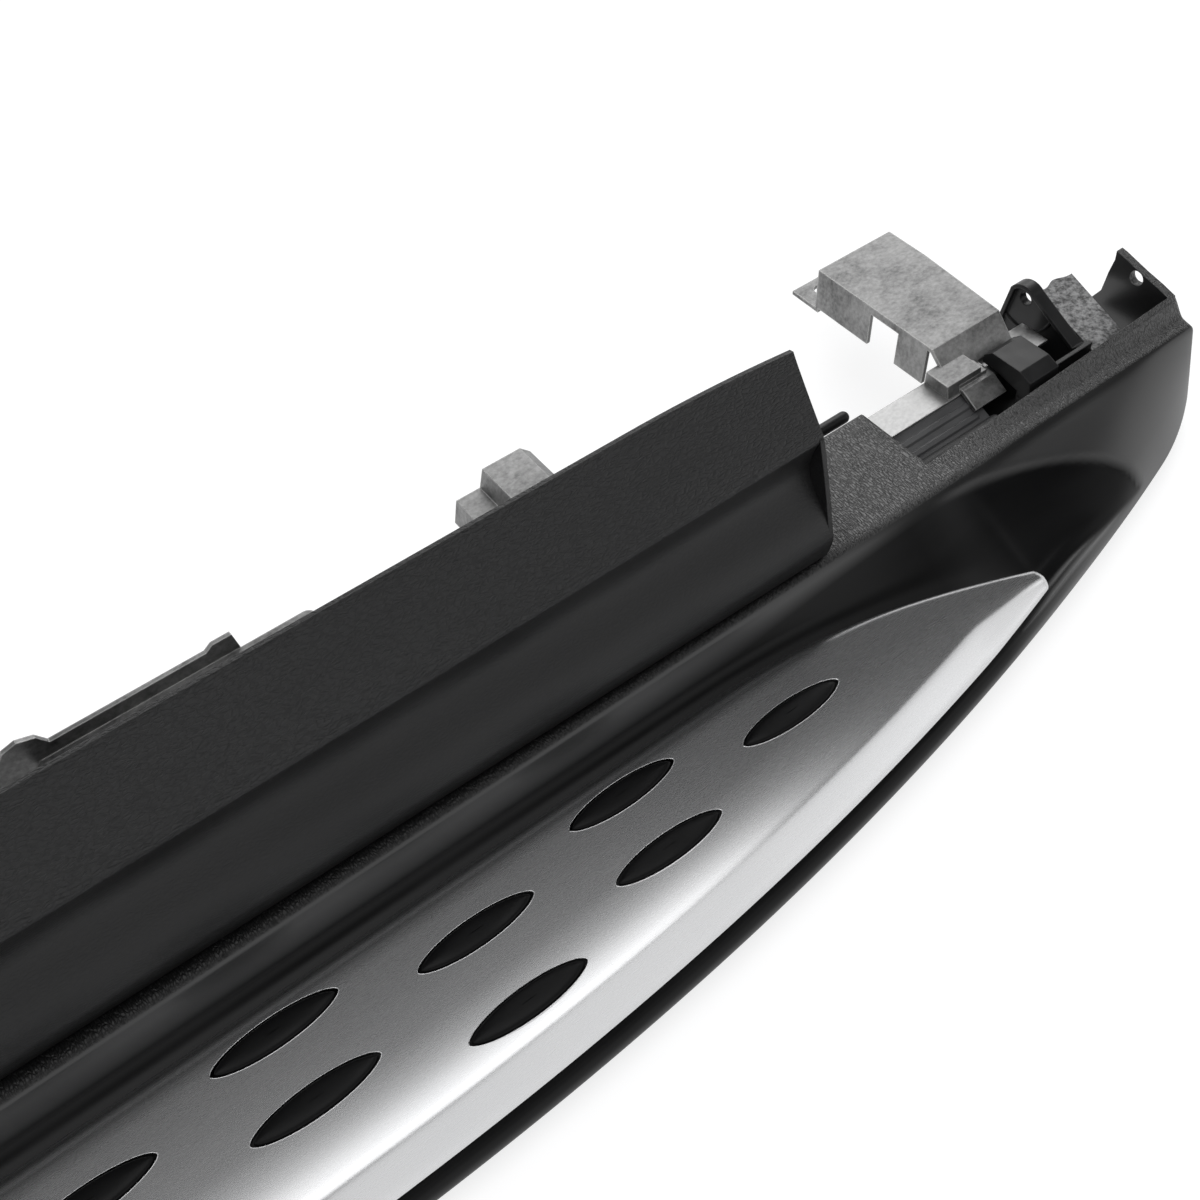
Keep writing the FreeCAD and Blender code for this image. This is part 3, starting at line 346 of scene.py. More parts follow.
def outward(piece):
    """Merges touching vertices and turns every face outwards."""
    work = bmesh.new()
    work.from_mesh(piece.data)
    bmesh.ops.remove_doubles(work, verts=work.verts, dist=0.00002)
    bmesh.ops.recalc_face_normals(work, faces=work.faces)
    work.to_mesh(piece.data)
    work.free()
    return piece


def joined(name, parts, merge=True):
    """One object from several, with touching vertices merged."""
    whole = bmesh.new()
    for part in parts:
        whole.from_mesh(part.data)
        bpy.data.objects.remove(part)
    if merge:
        bmesh.ops.remove_doubles(whole, verts=whole.verts, dist=0.00002)
    data = bpy.data.meshes.new(name)
    whole.to_mesh(data)
    whole.free()
    made = bpy.data.objects.new(name, data)
    scene.collection.objects.link(made)
    return made


def applied(piece):
    """Turns an object's modifiers into plain mesh."""
    graph = bpy.context.evaluated_depsgraph_get()
    data = bpy.data.meshes.new_from_object(piece.evaluated_get(graph))
    piece.modifiers.clear()
    piece.data = data
    return piece


def thickened(piece, thickness, offset=-1.0):
    """Gives a sheet its thickness, inwards where the offset is -1."""
    solid = piece.modifiers.new("wall", "SOLIDIFY")
    solid.thickness = thickness
    solid.offset = offset
    return applied(piece)


def drilled(piece, cutter):
    """Cuts a piece with a cutter, and removes the cutter."""
    cut = piece.modifiers.new("hole", "BOOLEAN")
    cut.object = cutter
    cut.operation = "DIFFERENCE"
    cut.solver = "EXACT"
    applied(piece)
    bpy.data.objects.remove(cutter)
    return piece


def rounded(piece, width, segments=2, angle=40):
    """Gives sharp edges a small radius and smooth shading."""
    bevel = piece.modifiers.new("round", "BEVEL")
    bevel.width = width
    bevel.segments = segments
    bevel.limit_method = "ANGLE"
    bevel.angle_limit = math.radians(angle)
    bevel.harden_normals = True
    piece.data.shade_smooth()
    return applied(piece)


leaf_start = half_length - 0.230
leaf_length = 0.148
leaf_step = 0.0026
leaf_sweep = 0.046
lip_fade = 0.055
end_core = (strip_y - 0.012, -0.010)
board_places = [0.0, bow_start / 2] + along(bow_start, leaf_start, 0.006)
board_places += along(leaf_start, leaf_start + 1.1 * leaf_length, 0.003)[1:]
board_places += along(board_places[-1], half_length - end_round, 0.006)[1:]
board_places += [half_length - end_round * (1 - math.sin(math.radians(a))) for a in (20, 40, 60, 80, 90)]


def leaf_share(s, y, z):
    """How far a place on top of the board lies in the leaf-shaped hollow past the plate's tip."""
    run = max(0.0, s - leaf_start) / leaf_length
    inner = ridge_y - leaf_sweep * run ** 2.7
    outer = board_edge(s) + lip_width * (1 - ease(s, leaf_start + lip_fade, leaf_start + leaf_length))
    inside = ease(run, 0.1, 0.35) * (1 - ease(run, 0.97, 1.05)) * ease(z, -0.9 * nose_drop, -0.6 * nose_drop)
    return inside * ease(inner - y, 0.0, 0.0045) * ease(y - outer, 0.0, 0.004)


def board_line(s):
    """Section of the moulding at s, with the leaf-shaped hollow and the rounded end."""
    near = max(0.0, s - (half_length - end_round))
    pull = end_round - math.sqrt(max(0.0, end_round ** 2 - near ** 2))
    line = [(y, z - leaf_step * leaf_share(s, y, z)) for y, z in softened(board_skin(s))]
    return [mix(p, end_core, pull / math.dist(p, end_core)) for p in line] if pull else line


def board_row(x):
    """The moulding's section as points at x."""
    return [(x, y, tread_z + z) for y, z in board_line(abs(x))]


def deck_row(x):
    """The deck from the strip's edge to its rounded inboard edge and down its skirt."""
    edge_round = 0.002
    rim = [(strip_y + 0.0005, 0.0), (deck_edge_y - 2 * edge_round, 0.0), (deck_edge_y - edge_round, 0.0)]
    rim += [(deck_edge_y - 0.3 * edge_round, -0.3 * edge_round), (deck_edge_y, -edge_round)]
    rim += [(deck_edge_y, -2 * edge_round), (deck_edge_y, -deck_z)]
    return [board_row(x)[0]] + [(x, y, deck_z + z) for y, z in rim]


def strip_row(x):
    """The plain skirt under the narrow strip beside the cut-out."""
    top = board_row(x)[0]
    return [top] + [(x, top[1], z) for z in (top[2] - 0.002, top[2] - 0.01, 0.0)]


board_xs = both_sides(board_places)
middle_xs = sorted([x for x in board_xs if abs(x) < notch_start - 0.001] + [-notch_start, notch_start])
right_xs = [notch_start] + [x for x in board_xs if x > notch_start + 0.001]
left_xs = [-x for x in reversed(right_xs)]
all_xs = sorted(set(middle_xs + right_xs + left_xs))
skin = [facing(lattice("skin", [board_row(x) for x in all_xs]), (0, -0.5, 1))]
skin.append(facing(lattice("deck", [deck_row(x) for x in middle_xs]), (0, 0.5, 1)))
for side in (right_xs, left_xs):
    skin.append(facing(lattice("strip_skirt", [strip_row(x) for x in side]), (0, 1, 0)))
for x in (right_xs[-1], left_xs[0]):
    cap = board_row(x) + strip_row(x)[:0:-1]
    skin.append(facing(mesh_object("cap", cap, [tuple(range(len(cap)))]), (x, 0, 0)))
shell = joined("board_shell", skin)
shell.data.shade_smooth()
thickened(shell, wall)

inside_wall = []
rim_line = [(strip_y - 0.001, 0.0300), (strip_y + 0.008, 0.0325), (ridge_y + 0.038, 0.0350)]
rim_line += [(ridge_y + 0.053, 0.0390), (ridge_y + 0.058, 0.0400), (ridge_y + 0.0575, 0.0340)]
rim_line += [(ridge_y + 0.0592, 0.024), (ridge_y + 0.0598, 0.017), (ridge_y + 0.0605, 0.010)]
rim_line += [(ridge_y + 0.067, -0.001), (ridge_y + 0.067, -0.014), (ridge_y + 0.052, -0.025)]
rim_line += [(strip_y - 0.001, -0.025)]
hole_y, hole_z, hole_radius = ridge_y + 0.041, tread_z + 0.0305, 0.0045
for side in (1, -1):
    start, end = sorted((side * wall_x, side * (half_length - 0.0002)))
    plate = prism("end_wall", [(y, tread_z + z) for y, z in rim_line], 0, start, end)
    turns = [math.radians(a) for a in range(0, 360, 10)]
    ring = [(hole_y + hole_radius * math.cos(a), hole_z + hole_radius * math.sin(a)) for a in turns]
    drill = prism("drill", ring, 0, start - 0.01, end + 0.01)
    inside_wall.append(rounded(drilled(plate, drill), 0.0009))
for side in (1, -1):
    peg_x = side * (notch_start - 0.038)
    start, end = sorted((peg_x, peg_x - side * 0.010))
    lug = [(deck_edge_y - 0.001, tread_z + 0.005), (deck_edge_y + 0.0155, tread_z + 0.005)]
    lug += [(deck_edge_y + 0.0155, tread_z + 0.019), (deck_edge_y - 0.001, tread_z + 0.019)]
    inside_wall.append(rounded(prism("lug", lug, 0, start, end), 0.0008))
rib_low = -0.028
rib_pitch = 0.150
half_rib = 0.00125
for i in range(-4, 5):
    x = i * rib_pitch
    line = drawn_in(board_line(abs(x)), 0.8 * wall)
    line = [(y, tread_z + z) for y, z in line if z > rib_low and y < ridge_y + 0.012]
    line += [(line[-1][0], tread_z + rib_low), (line[0][0], tread_z + rib_low)]
    inside_wall.append(prism("rib", line, 0, x - half_rib, x + half_rib))
board = joined("board_shell", [shell] + inside_wall, False)
# The finish reads from this attribute how deep a place lies in the leaf-shaped hollow.
leaf = board.data.attributes.new("leaf", "FLOAT", "POINT")
for i, vertex in enumerate(board.data.vertices):
    x, y, z = vertex.co
    leaf.data[i].value = leaf_share(abs(x), y, z - tread_z + 0.002) if vertex.normal.z > 0 else 0.0


def material(name, base, roughness, metallic=0.0, specular=0.5):
    """Makes a material with one surface shader, and gives both."""
    made = bpy.data.materials.new(name)
    made.use_nodes = True
    made.node_tree.nodes.clear()
    shader = put(made, "ShaderNodeBsdfPrincipled", {"Base Color": (*base, 1.0), "Roughness": roughness,
                                                    "Metallic": metallic, "Specular IOR Level": specular})
    put(made, "ShaderNodeOutputMaterial", {"Surface": shader.outputs[0]})
    return made, shader


def object_place(made, scale=(1.0, 1.0, 1.0)):
    """Object coordinates, stretched by a scale."""
    place = put(made, "ShaderNodeTexCoord")
    return put(made, "ShaderNodeMapping", {"Vector": place.outputs["Object"], "Scale": scale}).outputs[0]


def noise(made, place, scale, detail=4.0, roughness=0.55):
    """Cloudy noise texture."""
    return put(made, "ShaderNodeTexNoise", {"Vector": place, "Scale": scale, "Detail": detail,
                                            "Roughness": roughness})


def spread_between(made, value, low, high, start=0.3, end=0.7):
    """Maps a texture's value to a range between low and high."""
    return put(made, "ShaderNodeMapRange", {"Value": value, "From Min": start, "From Max": end,
                                            "To Min": low, "To Max": high}).outputs[0]


def wire(made, source, shader, socket):
    """Links a node's output to one of the shader's inputs."""
    made.node_tree.links.new(source, shader.inputs[socket])


def leather(made, place, cell):
    """Height of a wrinkled leather grain: stretched cells whose walls wander, over a fine tooth."""
    warp = noise(made, place, 0.35 * cell, 2.0)
    moved = put(made, "ShaderNodeMixRGB", {"Fac": 0.004, "Color1": place, "Color2": warp.outputs["Color"]},
                blend_type="ADD")
    cells = put(made, "ShaderNodeTexVoronoi", {"Vector": moved.outputs[0], "Scale": cell},
                feature="DISTANCE_TO_EDGE")
    walls = spread_between(made, cells.outputs["Distance"], 0.0, 1.0, 0.0, 0.22)
    tooth = noise(made, place, 5.0 * cell, 3.0)
    return put(made, "ShaderNodeMixRGB", {"Fac": 0.35, "Color1": walls,
                                          "Color2": tooth.outputs["Fac"]}).outputs[0]


def coated(piece, finish):
    """Gives a piece one material in place of any it has."""
    piece.data.materials.clear()
    piece.data.materials.append(finish)


board_black, shader = material("board_black", (0.006, 0.006, 0.0062), 0.36)
place = object_place(board_black)
axes = put(board_black, "ShaderNodeSeparateXYZ", {"Vector": place})
facet = put(board_black, "ShaderNodeSeparateXYZ",
            {"Vector": put(board_black, "ShaderNodeNewGeometry").outputs["True Normal"]})
endwise = put(board_black, "ShaderNodeMath", {0: facet.outputs["X"]}, operation="ABSOLUTE")
# The grain covers what lies inboard of the ridge; the faces of the end walls stay smooth.
inland = spread_between(board_black, axes.outputs["Y"], 0.0, 1.0, ridge_y + 0.001, ridge_y + 0.003)
level = spread_between(board_black, endwise.outputs[0], 1.0, 0.0, 0.6, 0.8)
grained = put(board_black, "ShaderNodeMath", {0: inland, 1: level}, operation="MULTIPLY").outputs[0]
grain = leather(board_black, object_place(board_black, (2.1, 0.65, 1.0)), 400.0)
relief = put(board_black, "ShaderNodeMath", {0: grain, 1: grained}, operation="MULTIPLY").outputs[0]
grain_bump = put(board_black, "ShaderNodeBump", {"Height": relief, "Strength": 1.0, "Distance": 0.0003})
fine = noise(board_black, place, 2600.0, 2.0)
fine_bump = put(board_black, "ShaderNodeBump", {"Height": fine.outputs["Fac"], "Strength": 0.12,
                                                "Distance": 0.00006, "Normal": grain_bump.outputs[0]})
wire(board_black, fine_bump.outputs[0], shader, "Normal")
smears = noise(board_black, object_place(board_black, (1.0, 3.0, 3.0)), 14.0)
dust = spread_between(board_black, smears.outputs["Fac"], 0.0, 1.0, 0.25, 0.75)
tone = put(board_black, "ShaderNodeMixRGB", {"Fac": dust, "Color1": (0.003, 0.003, 0.0031, 1.0),
                                             "Color2": (0.006, 0.006, 0.0062, 1.0)})
wire(board_black, tone.outputs[0], shader, "Base Color")
# Shine by place: a satin wing, a dull hollow in it, a painted highlight on the ridge and painted light on
# the deck.
in_leaf = put(board_black, "ShaderNodeAttribute", attribute_name="leaf").outputs["Fac"]
outward_place = put(board_black, "ShaderNodeMath", {0: axes.outputs["X"]}, operation="ABSOLUTE")
wing = spread_between(board_black, outward_place.outputs[0], 0.0, 1.0, leaf_start, leaf_start + 0.08)
# Painted shade and light: the grain's shine drops to 0.3 along the trim and is full near the cut-out.
painted_light_past_trim = spread_between(board_black, outward_place.outputs[0], 0.3, 1.0,
                        notch_start - 0.10, notch_start - 0.05)
# Painted highlight: the ridge's outboard flank gets more shine, for a bright line along it.
crest = spread_between(board_black, axes.outputs["Y"], 0.0, 1.0, ridge_y - 0.005, ridge_y - 0.001)
tops = spread_between(board_black, relief, 0.35, 1.2, 0.0, 0.7)
grain_shine_and_painted_light = put(board_black, "ShaderNodeMath", {0: tops, 1: painted_light_past_trim}, operation="MULTIPLY").outputs[0]
rough = spread_between(board_black, smears.outputs["Fac"], 0.32, 0.40)
shine = 0.18
for share, rough_there, shine_there in ((wing, 0.43, 0.9), (in_leaf, 0.30, 0.08), (crest, 0.30, 0.75),
                                        (grained, 0.38, grain_shine_and_painted_light)):
    rough = put(board_black, "ShaderNodeMix", {"Factor": share, "A": rough, "B": rough_there}).outputs[0]
    shine = put(board_black, "ShaderNodeMix", {"Factor": share, "A": shine, "B": shine_there}).outputs[0]
wire(board_black, rough, shader, "Roughness")
wire(board_black, shine, shader, "Specular IOR Level")
coated(board, board_black)
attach(board, "root")
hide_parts("board_moulding")


# Tread plate. Pressed and satin-brushed aluminium sheet: a rolled inboard edge, a flat, a low crown and
# a sloping outboard face, with 28 lens-shaped holes. Each hole has a small polished rim.
sheet_thickness = 0.0016
tip_width = 0.012
nose_length = 0.004
stud_pitch = 0.090
stud_length = 0.060
stud_width = 0.0143
stud_rows = (0.0, -0.0146, -0.0344, -0.0537)
row_zero_y = outer_y + 0.089
crown_drop = 0.0014
roll_width = 0.008


def plate_profile(s):
    """Top line of the plate from its inboard to its outboard edge, heights from the tread level."""
    middle = (plate_inner(s) + plate_outer(s)) / 2
    width = max(tip_width, plate_inner(s) - plate_outer(s))
    inner, outer = middle + width / 2, middle - width / 2
    bevel = outer + min(bevel_width, max(0.002, 0.36 * width))
    left = inner - bevel
    crown = bevel + min(0.026, 0.5 * left)
    free = ease(s, plate_straight, plate_straight + 0.12)
    roll_y = inner - min(roll_width * (1 - 0.75 * free), 0.3 * left)
    roll = 0.003 * min(1.0, left / (2 * roll_width)) * (1 - 0.7 * free)
    face = -crown_drop - 0.6 * (bevel - outer)
    points = [(inner, -1.05 * roll), (inner - 0.3 * (inner - roll_y), -0.55 * roll), (roll_y, 0.0)]
    points += [mix((roll_y, 0.0), (crown, 0.0), k) for k in (0.2, 0.4, 0.6, 0.8)]
    points += [(crown, 0.0), (mix((crown,), (bevel,), 0.5)[0], -0.25 * crown_drop)]
    points += [(mix((crown,), (bevel,), 0.85)[0], -0.7 * crown_drop), (bevel, -1.1 * crown_drop)]
    points += [mix((bevel, -crown_drop), (outer, face), k) for k in (0.3, 0.85)]
    return points + [(outer, face - 0.0004)]


tip_stop = place_of_width(tip_width)


def plate_row(x):
    """The plate's top line as points at x, closed to a rounded nose at the tip."""
    s = abs(x)
    line = softened(plate_profile(min(s, tip_stop)))
    if s > tip_stop:
        share = math.sqrt(max(0.0, 1 - ((s - tip_stop) / nose_length) ** 2))
        middle = mix(line[0], line[-1], 0.5)
        line = [mix(middle, p, share) for p in line]
    return [(x, y, tread_z + z) for y, z in line]


plate_places = along(0.0, tip_stop, 0.009)
plate_places += [tip_stop + nose_length * math.sin(math.radians(a)) for a in (20, 40, 60, 75, 88)]
plate_sheet = lattice("plate_sheet", [plate_row(x) for x in both_sides(plate_places)])
outward(plate_sheet)
if plate_sheet.data.polygons[len(plate_sheet.data.polygons) // 2].normal.z < 0:
    plate_sheet.data.flip_normals()
smooth_places = [v.co.copy() for v in plate_sheet.data.vertices]
smooth_normals = [v.normal.copy() for v in plate_sheet.data.vertices]
thickened(plate_sheet, sheet_thickness)


def stud_places():
    """Centres of the studs: four rows, two and two by turns, one at each end."""
    places = []
    columns = 2 * int((plate_straight + stud_length) // stud_pitch) + 1
    for column in range(columns):
        x = (column - (columns - 1) / 2) * stud_pitch
        rows = (1,) if column in (0, columns - 1) else ((0, 2) if column % 2 else (1, 3))
        places += [(x, row_zero_y + stud_rows[row]) for row in rows]
    return places


def lens_ring(length, width, count=24):
    """Lens outline of two shallow arcs, centred on the origin, with slightly rounded tips."""
    reach, side = length / 2, width / 2
    ring = []
    for i in range(2 * count):
        a = math.pi * i / count
        u = math.cos(a)
        ring.append((reach * u, math.copysign(side * (1 - u * u) ** 0.59, math.sin(a))))
    return ring


cutters = []
for x, y in stud_places():
    outline = [(x + u, y + v) for u, v in lens_ring(stud_length, stud_width)]
    cutters.append(prism("cutter", outline, 2, tread_z - 0.02, tread_z + 0.02))
drilled(plate_sheet, joined("cutters", cutters, False))
plate_sheet.name = "tread_plate"

# The cut faces take the smooth normals of the sheet before its holes, so that they cast no ripples.
finder = KDTree(len(smooth_places))
for i, spot in enumerate(smooth_places):
    finder.insert(spot, i)
finder.balance()
plate_sheet.data.shade_smooth()
corner_normals = []
for polygon in plate_sheet.data.polygons:
    for loop in polygon.loop_indices:
        spot = plate_sheet.data.vertices[plate_sheet.data.loops[loop].vertex_index].co
        near = finder.find_n(spot, 4)
        blend = Vector((0.0, 0.0, 0.0))
        for _, i, distance in near:
            blend += smooth_normals[i] / (distance + 0.0005)
        blend.normalize()
        match = polygon.normal.dot(blend)
        if abs(match) > 0.8:
            corner_normals.append(blend * math.copysign(1.0, match))
        else:
            corner_normals.append(polygon.normal.copy())
plate_sheet.data.normals_split_custom_set(corner_normals)

brushed, shader = material("brushed_plate", (0.60, 0.60, 0.61), 0.3, 1.0)
strokes = noise(brushed, object_place(brushed, (6.0, 240.0, 240.0)), 16.0, 6.0, 0.7)
clouds = noise(brushed, object_place(brushed), 9.0, 3.0)
wire(brushed, spread_between(brushed, strokes.outputs["Fac"], 0.26, 0.285), shader, "Roughness")
tone = put(brushed, "ShaderNodeMixRGB", {"Fac": clouds.outputs["Fac"], "Color1": (0.58, 0.585, 0.595, 1.0),
                                         "Color2": (0.66, 0.66, 0.665, 1.0)})
wire(brushed, tone.outputs[0], shader, "Base Color")
scratch = put(brushed, "ShaderNodeBump", {"Height": strokes.outputs["Fac"], "Strength": 0.03,
                                          "Distance": 0.00003})
wire(brushed, scratch.outputs[0], shader, "Normal")
coated(plate_sheet, brushed)
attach(plate_sheet, "root")
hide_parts("step_plate")
# The front lamp lights this plate alone, and the one behind leaves it out.
for lamp, state in ((face_lamp, "INCLUDE"), (back_lamp, "EXCLUDE")):
    linked = bpy.data.collections.new(lamp.name + "_linked")
    linked.objects.link(plate_sheet)
    linked.collection_objects[0].light_linking.link_state = state
    lamp.light_linking.receiver_collection = linked


def spread(name, places, pattern, finish):
    """Geometry Nodes: one copy of a pattern at each place, made real and given its material."""
    holder = mesh_object(name, places, [])
    tree = bpy.data.node_groups.new(name + "_tree", "GeometryNodeTree")
    tree.interface.new_socket("Geometry", in_out="INPUT", socket_type="NodeSocketGeometry")
    pattern_socket = tree.interface.new_socket("Pattern", in_out="INPUT", socket_type="NodeSocketObject")
    finish_socket = tree.interface.new_socket("Finish", in_out="INPUT", socket_type="NodeSocketMaterial")
    tree.interface.new_socket("Geometry", in_out="OUTPUT", socket_type="NodeSocketGeometry")
    start = tree.nodes.new("NodeGroupInput")
    end = tree.nodes.new("NodeGroupOutput")
    info = tree.nodes.new("GeometryNodeObjectInfo")
    copies = tree.nodes.new("GeometryNodeInstanceOnPoints")
    real = tree.nodes.new("GeometryNodeRealizeInstances")
    coat = tree.nodes.new("GeometryNodeSetMaterial")
    tree.links.new(start.outputs["Pattern"], info.inputs["Object"])
    tree.links.new(start.outputs["Geometry"], copies.inputs["Points"])
    tree.links.new(info.outputs["Geometry"], copies.inputs["Instance"])
    tree.links.new(copies.outputs[0], real.inputs[0])
    tree.links.new(real.outputs[0], coat.inputs["Geometry"])
    tree.links.new(start.outputs["Finish"], coat.inputs["Material"])
    tree.links.new(coat.outputs[0], end.inputs[0])
    modifier = holder.modifiers.new("spread", "NODES")
    modifier.node_group = tree
    modifier[pattern_socket.identifier] = pattern
    modifier[finish_socket.identifier] = finish
    applied(holder)
    bpy.data.objects.remove(pattern)
    return holder


def plate_level(x, y):
    """Height of the plate's top at a place."""
    line = plate_profile(abs(x))
    for (ya, za), (yb, zb) in zip(line, line[1:]):
        if yb <= y <= ya:
            return tread_z + za + (zb - za) * (ya - y) / (ya - yb)
    return tread_z


polished, shader = material("polished_rim", (0.74, 0.74, 0.75), 0.22, 1.0)
haze = noise(polished, object_place(polished), 900.0, 3.0)
wire(polished, spread_between(polished, haze.outputs["Fac"], 0.18, 0.3), shader, "Roughness")
rim_rings = []
for grow, drop in ((0.0008, -0.0004), (0.0005, 0.0001), (0.0, 0.00015), (-0.0003, -0.0002),
                   (-0.0004, -0.0012)):
    ring = lens_ring(stud_length + grow, stud_width + grow)
    rim_rings.append([(u, v, drop) for u, v in ring + ring[:1]])
rim = outward(lattice("rim", rim_rings))
hole_places = [(x, y, plate_level(x, y)) for x, y in stud_places()]
rims = spread("hole_rims", hole_places, rim, polished)
rims.data.shade_smooth()
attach(rims, "root")


# Rubber mat with studs. A thin black rubber sheet under the plate; its domed studs come up through the
# holes and stand a little proud of the metal.
stud_gap = 0.0006
stud_rise = 0.0016
mat_half = 0.0016
mat_margin = 0.017
rubber, shader = material("stud_rubber_black", (0.0045, 0.0045, 0.0047), 0.36, 0.0, 0.13)
speckle = noise(rubber, object_place(rubber), 1500.0, 3.0)
bloom = noise(rubber, object_place(rubber), 45.0, 3.0)
wire(rubber, spread_between(rubber, bloom.outputs["Fac"], 0.34, 0.5), shader, "Roughness")
pores = put(rubber, "ShaderNodeBump", {"Height": speckle.outputs["Fac"], "Strength": 0.25,
                                       "Distance": 0.00005})
wire(rubber, pores.outputs[0], shader, "Normal")
dome_rings = []
for share, height in ((1.0, -0.0085), (1.0, -0.001), (0.985, -0.0003), (0.95, 0.0004), (0.86, 0.0009),
                      (0.7, 0.00125), (0.48, 0.00148), (0.24, 0.00158), (0.02, stud_rise)):
    ring = lens_ring((stud_length - 5 * stud_gap) * share ** 0.5, (stud_width - 2 * stud_gap) * share)
    dome_rings.append([(u, v, height - 0.0006 * (u / stud_length * 2) ** 2) for u, v in ring + ring[:1]])
dome = outward(lattice("dome", dome_rings))
studs = spread("studs", hole_places, dome, rubber)
mat_rows = []
for x in both_sides(along(0.0, place_of_width(0.046), 0.03)):
    inner, outer = plate_inner(abs(x)) - mat_margin, plate_outer(abs(x)) + mat_margin
    level = tread_z - sheet_thickness - mat_half
    mat_rows.append([(x, y, level) for y in (inner, (inner + outer) / 2, outer)])
mat_sheet = outward(lattice("mat_sheet", mat_rows))
thickened(mat_sheet, 0.003, 0.0)
mat = joined("stud_mat", [studs, mat_sheet], False)
mat.data.shade_smooth()
coated(mat, rubber)
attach(mat, "root")
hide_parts("stud_mat")


# Sill trim. Moulded black plastic wall on the deck: a leather-grained upper face leaning inboard, a crease,
# a hollow waist, a full bulge and a toe, which bow inboard between the ends. Each end is closed by a
# lens-shaped web and its top corner dips.
trim_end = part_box("rocker_trim")[1][0]
trim_wall = 0.0028
top_y, top_z = row_zero_y + 0.072, tread_z + 0.133
crease_y, crease_z = row_zero_y + 0.045, tread_z + 0.094
end_run = 0.090
end_drop = 0.0034
toe_bow = 0.0055
bulge_z = tread_z + 0.038
drop_radius = (end_run ** 2 + end_drop ** 2) / (2 * end_drop)
face_points = [(0.045, 0.094), (0.050, 0.071), (0.036, 0.050), (0.032, 0.038), (0.0325, 0.029),
               (0.035, 0.020)]
face_points = [(row_zero_y + y, tread_z + z) for y, z in face_points]


def curved(points, steps=7):
    """Smooth line through the given points."""
    line = []
    padded = [points[0]] + points + [points[-1]]
    for a, b, c, d in zip(padded, padded[1:], padded[2:], padded[3:]):
        for i in range(steps):
            t = i / steps
            line.append(tuple(0.5 * (2 * q + (r - p) * t + (2 * p - 5 * q + 4 * r - w) * t * t
                                     + (3 * q - p - 3 * r + w) * t ** 3) for p, q, r, w in zip(a, b, c, d)))
    return line + [points[-1]]


trim_face = curved(face_points)


def trim_row(x):
    """The trim's outboard face and foot as points at x."""
    over = max(0.0, abs(x) - (trim_end - end_run))
    drop = drop_radius - math.sqrt(drop_radius ** 2 - over ** 2)
    share = 1 - drop / (top_z - crease_z)
    top = mix((crease_y, crease_z), (top_y, top_z), share)
    upper = [mix(top, (crease_y, crease_z), k) for k in (0.0, 0.02, 0.15, 0.35, 0.6, 0.85, 0.96)]
    upper = [(y + 0.0007 * math.sin(math.pi * i / 6), z) for i, (y, z) in enumerate(upper)]
    inward = 1 - abs(x) / trim_end
    drawn = toe_bow * inward * (2 - inward)
    lower = [(y + drawn * min(1.0, (crease_z - z) / (crease_z - bulge_z)), z) for y, z in trim_face[1:]]
    line = upper + [mix((crease_y, crease_z), lower[0], 0.5)] + lower[:-1]
    toe = lower[-1]
    line += [(toe[0], toe[1] + 0.001), (toe[0] + 0.001, toe[1] + 0.0002), (toe[0] + 0.003, toe[1])]
    line.append((row_zero_y + 0.058, toe[1]))
    return [(x, y, z) for y, z in line]


trim_places = along(0.0, trim_end - end_run, 0.05) + along(trim_end - end_run, trim_end, 0.006)[1:]
trim_skin = lattice("trim_skin", [trim_row(x) for x in both_sides(trim_places)])
if trim_skin.data.polygons[0].normal.y > 0:
    trim_skin.data.flip_normals()
thickened(trim_skin, trim_wall)
rounded(trim_skin, 0.0006, 2, 50)
trim_parts = [trim_skin]
web_line = [p for p in trim_face if p[1] > bulge_z]
bow_y = (crease_y + row_zero_y + 0.032) / 2 - 0.0012
bow_z = (crease_z + bulge_z) / 2
chord = [mix(mix(web_line[0], (bow_y, bow_z), k), mix((bow_y, bow_z), web_line[-1], k), k)
         for k in (0.0, 0.2, 0.4, 0.6, 0.8, 1.0)]
back = [(web_line[-1][0] + 0.014, web_line[-1][1]), (web_line[0][0] + 0.014, web_line[0][1])]
for side in (1, -1):
    start, end = sorted((side * trim_end, side * (trim_end - trim_wall)))
    trim_parts.append(rounded(prism("web", chord + back, 0, start, end), 0.0005))


def leaning_back(z):
    """Inboard face of the trim's upper part at a height above the tread level."""
    lean = (top_y - crease_y) / (top_z - crease_z)
    return crease_y + lean * (z + tread_z - crease_z) + trim_wall * math.hypot(1, lean)


house_low, house_high, house_wall = 0.094, 0.114, 0.002
house_half, house_depth, house_sunk = 0.01, 0.009, 0.0015
slot_low, slot_high, slot_end = 0.1007, 0.1073, 0.0033
face_y = leaning_back(house_high) + house_depth


def from_back(low, high):
    """Outline from the trim's back to the tower's face between two heights."""
    return [(leaning_back(low) - house_sunk, tread_z + low), (face_y, tread_z + low),
            (face_y, tread_z + high), (leaning_back(high) - house_sunk, tread_z + high)]


tower = [prism("shelf", from_back(house_low, house_low + house_wall), 0, -house_half, house_half),
         prism("shelf", from_back(house_high - house_wall, house_high), 0, -house_half, house_half),
         prism("side_wall", from_back(house_low, house_high), 0, house_half - house_wall, house_half)]
for low, high, left in ((house_low, slot_low, -house_half), (slot_high, house_high, -house_half),
                        (slot_low, slot_high, slot_end)):
    face = [(left, tread_z + low), (house_half, tread_z + low), (house_half, tread_z + high),
            (left, tread_z + high)]
    tower.append(prism("face", face, 1, face_y - house_wall, face_y))
tower = joined("tower", tower, False)

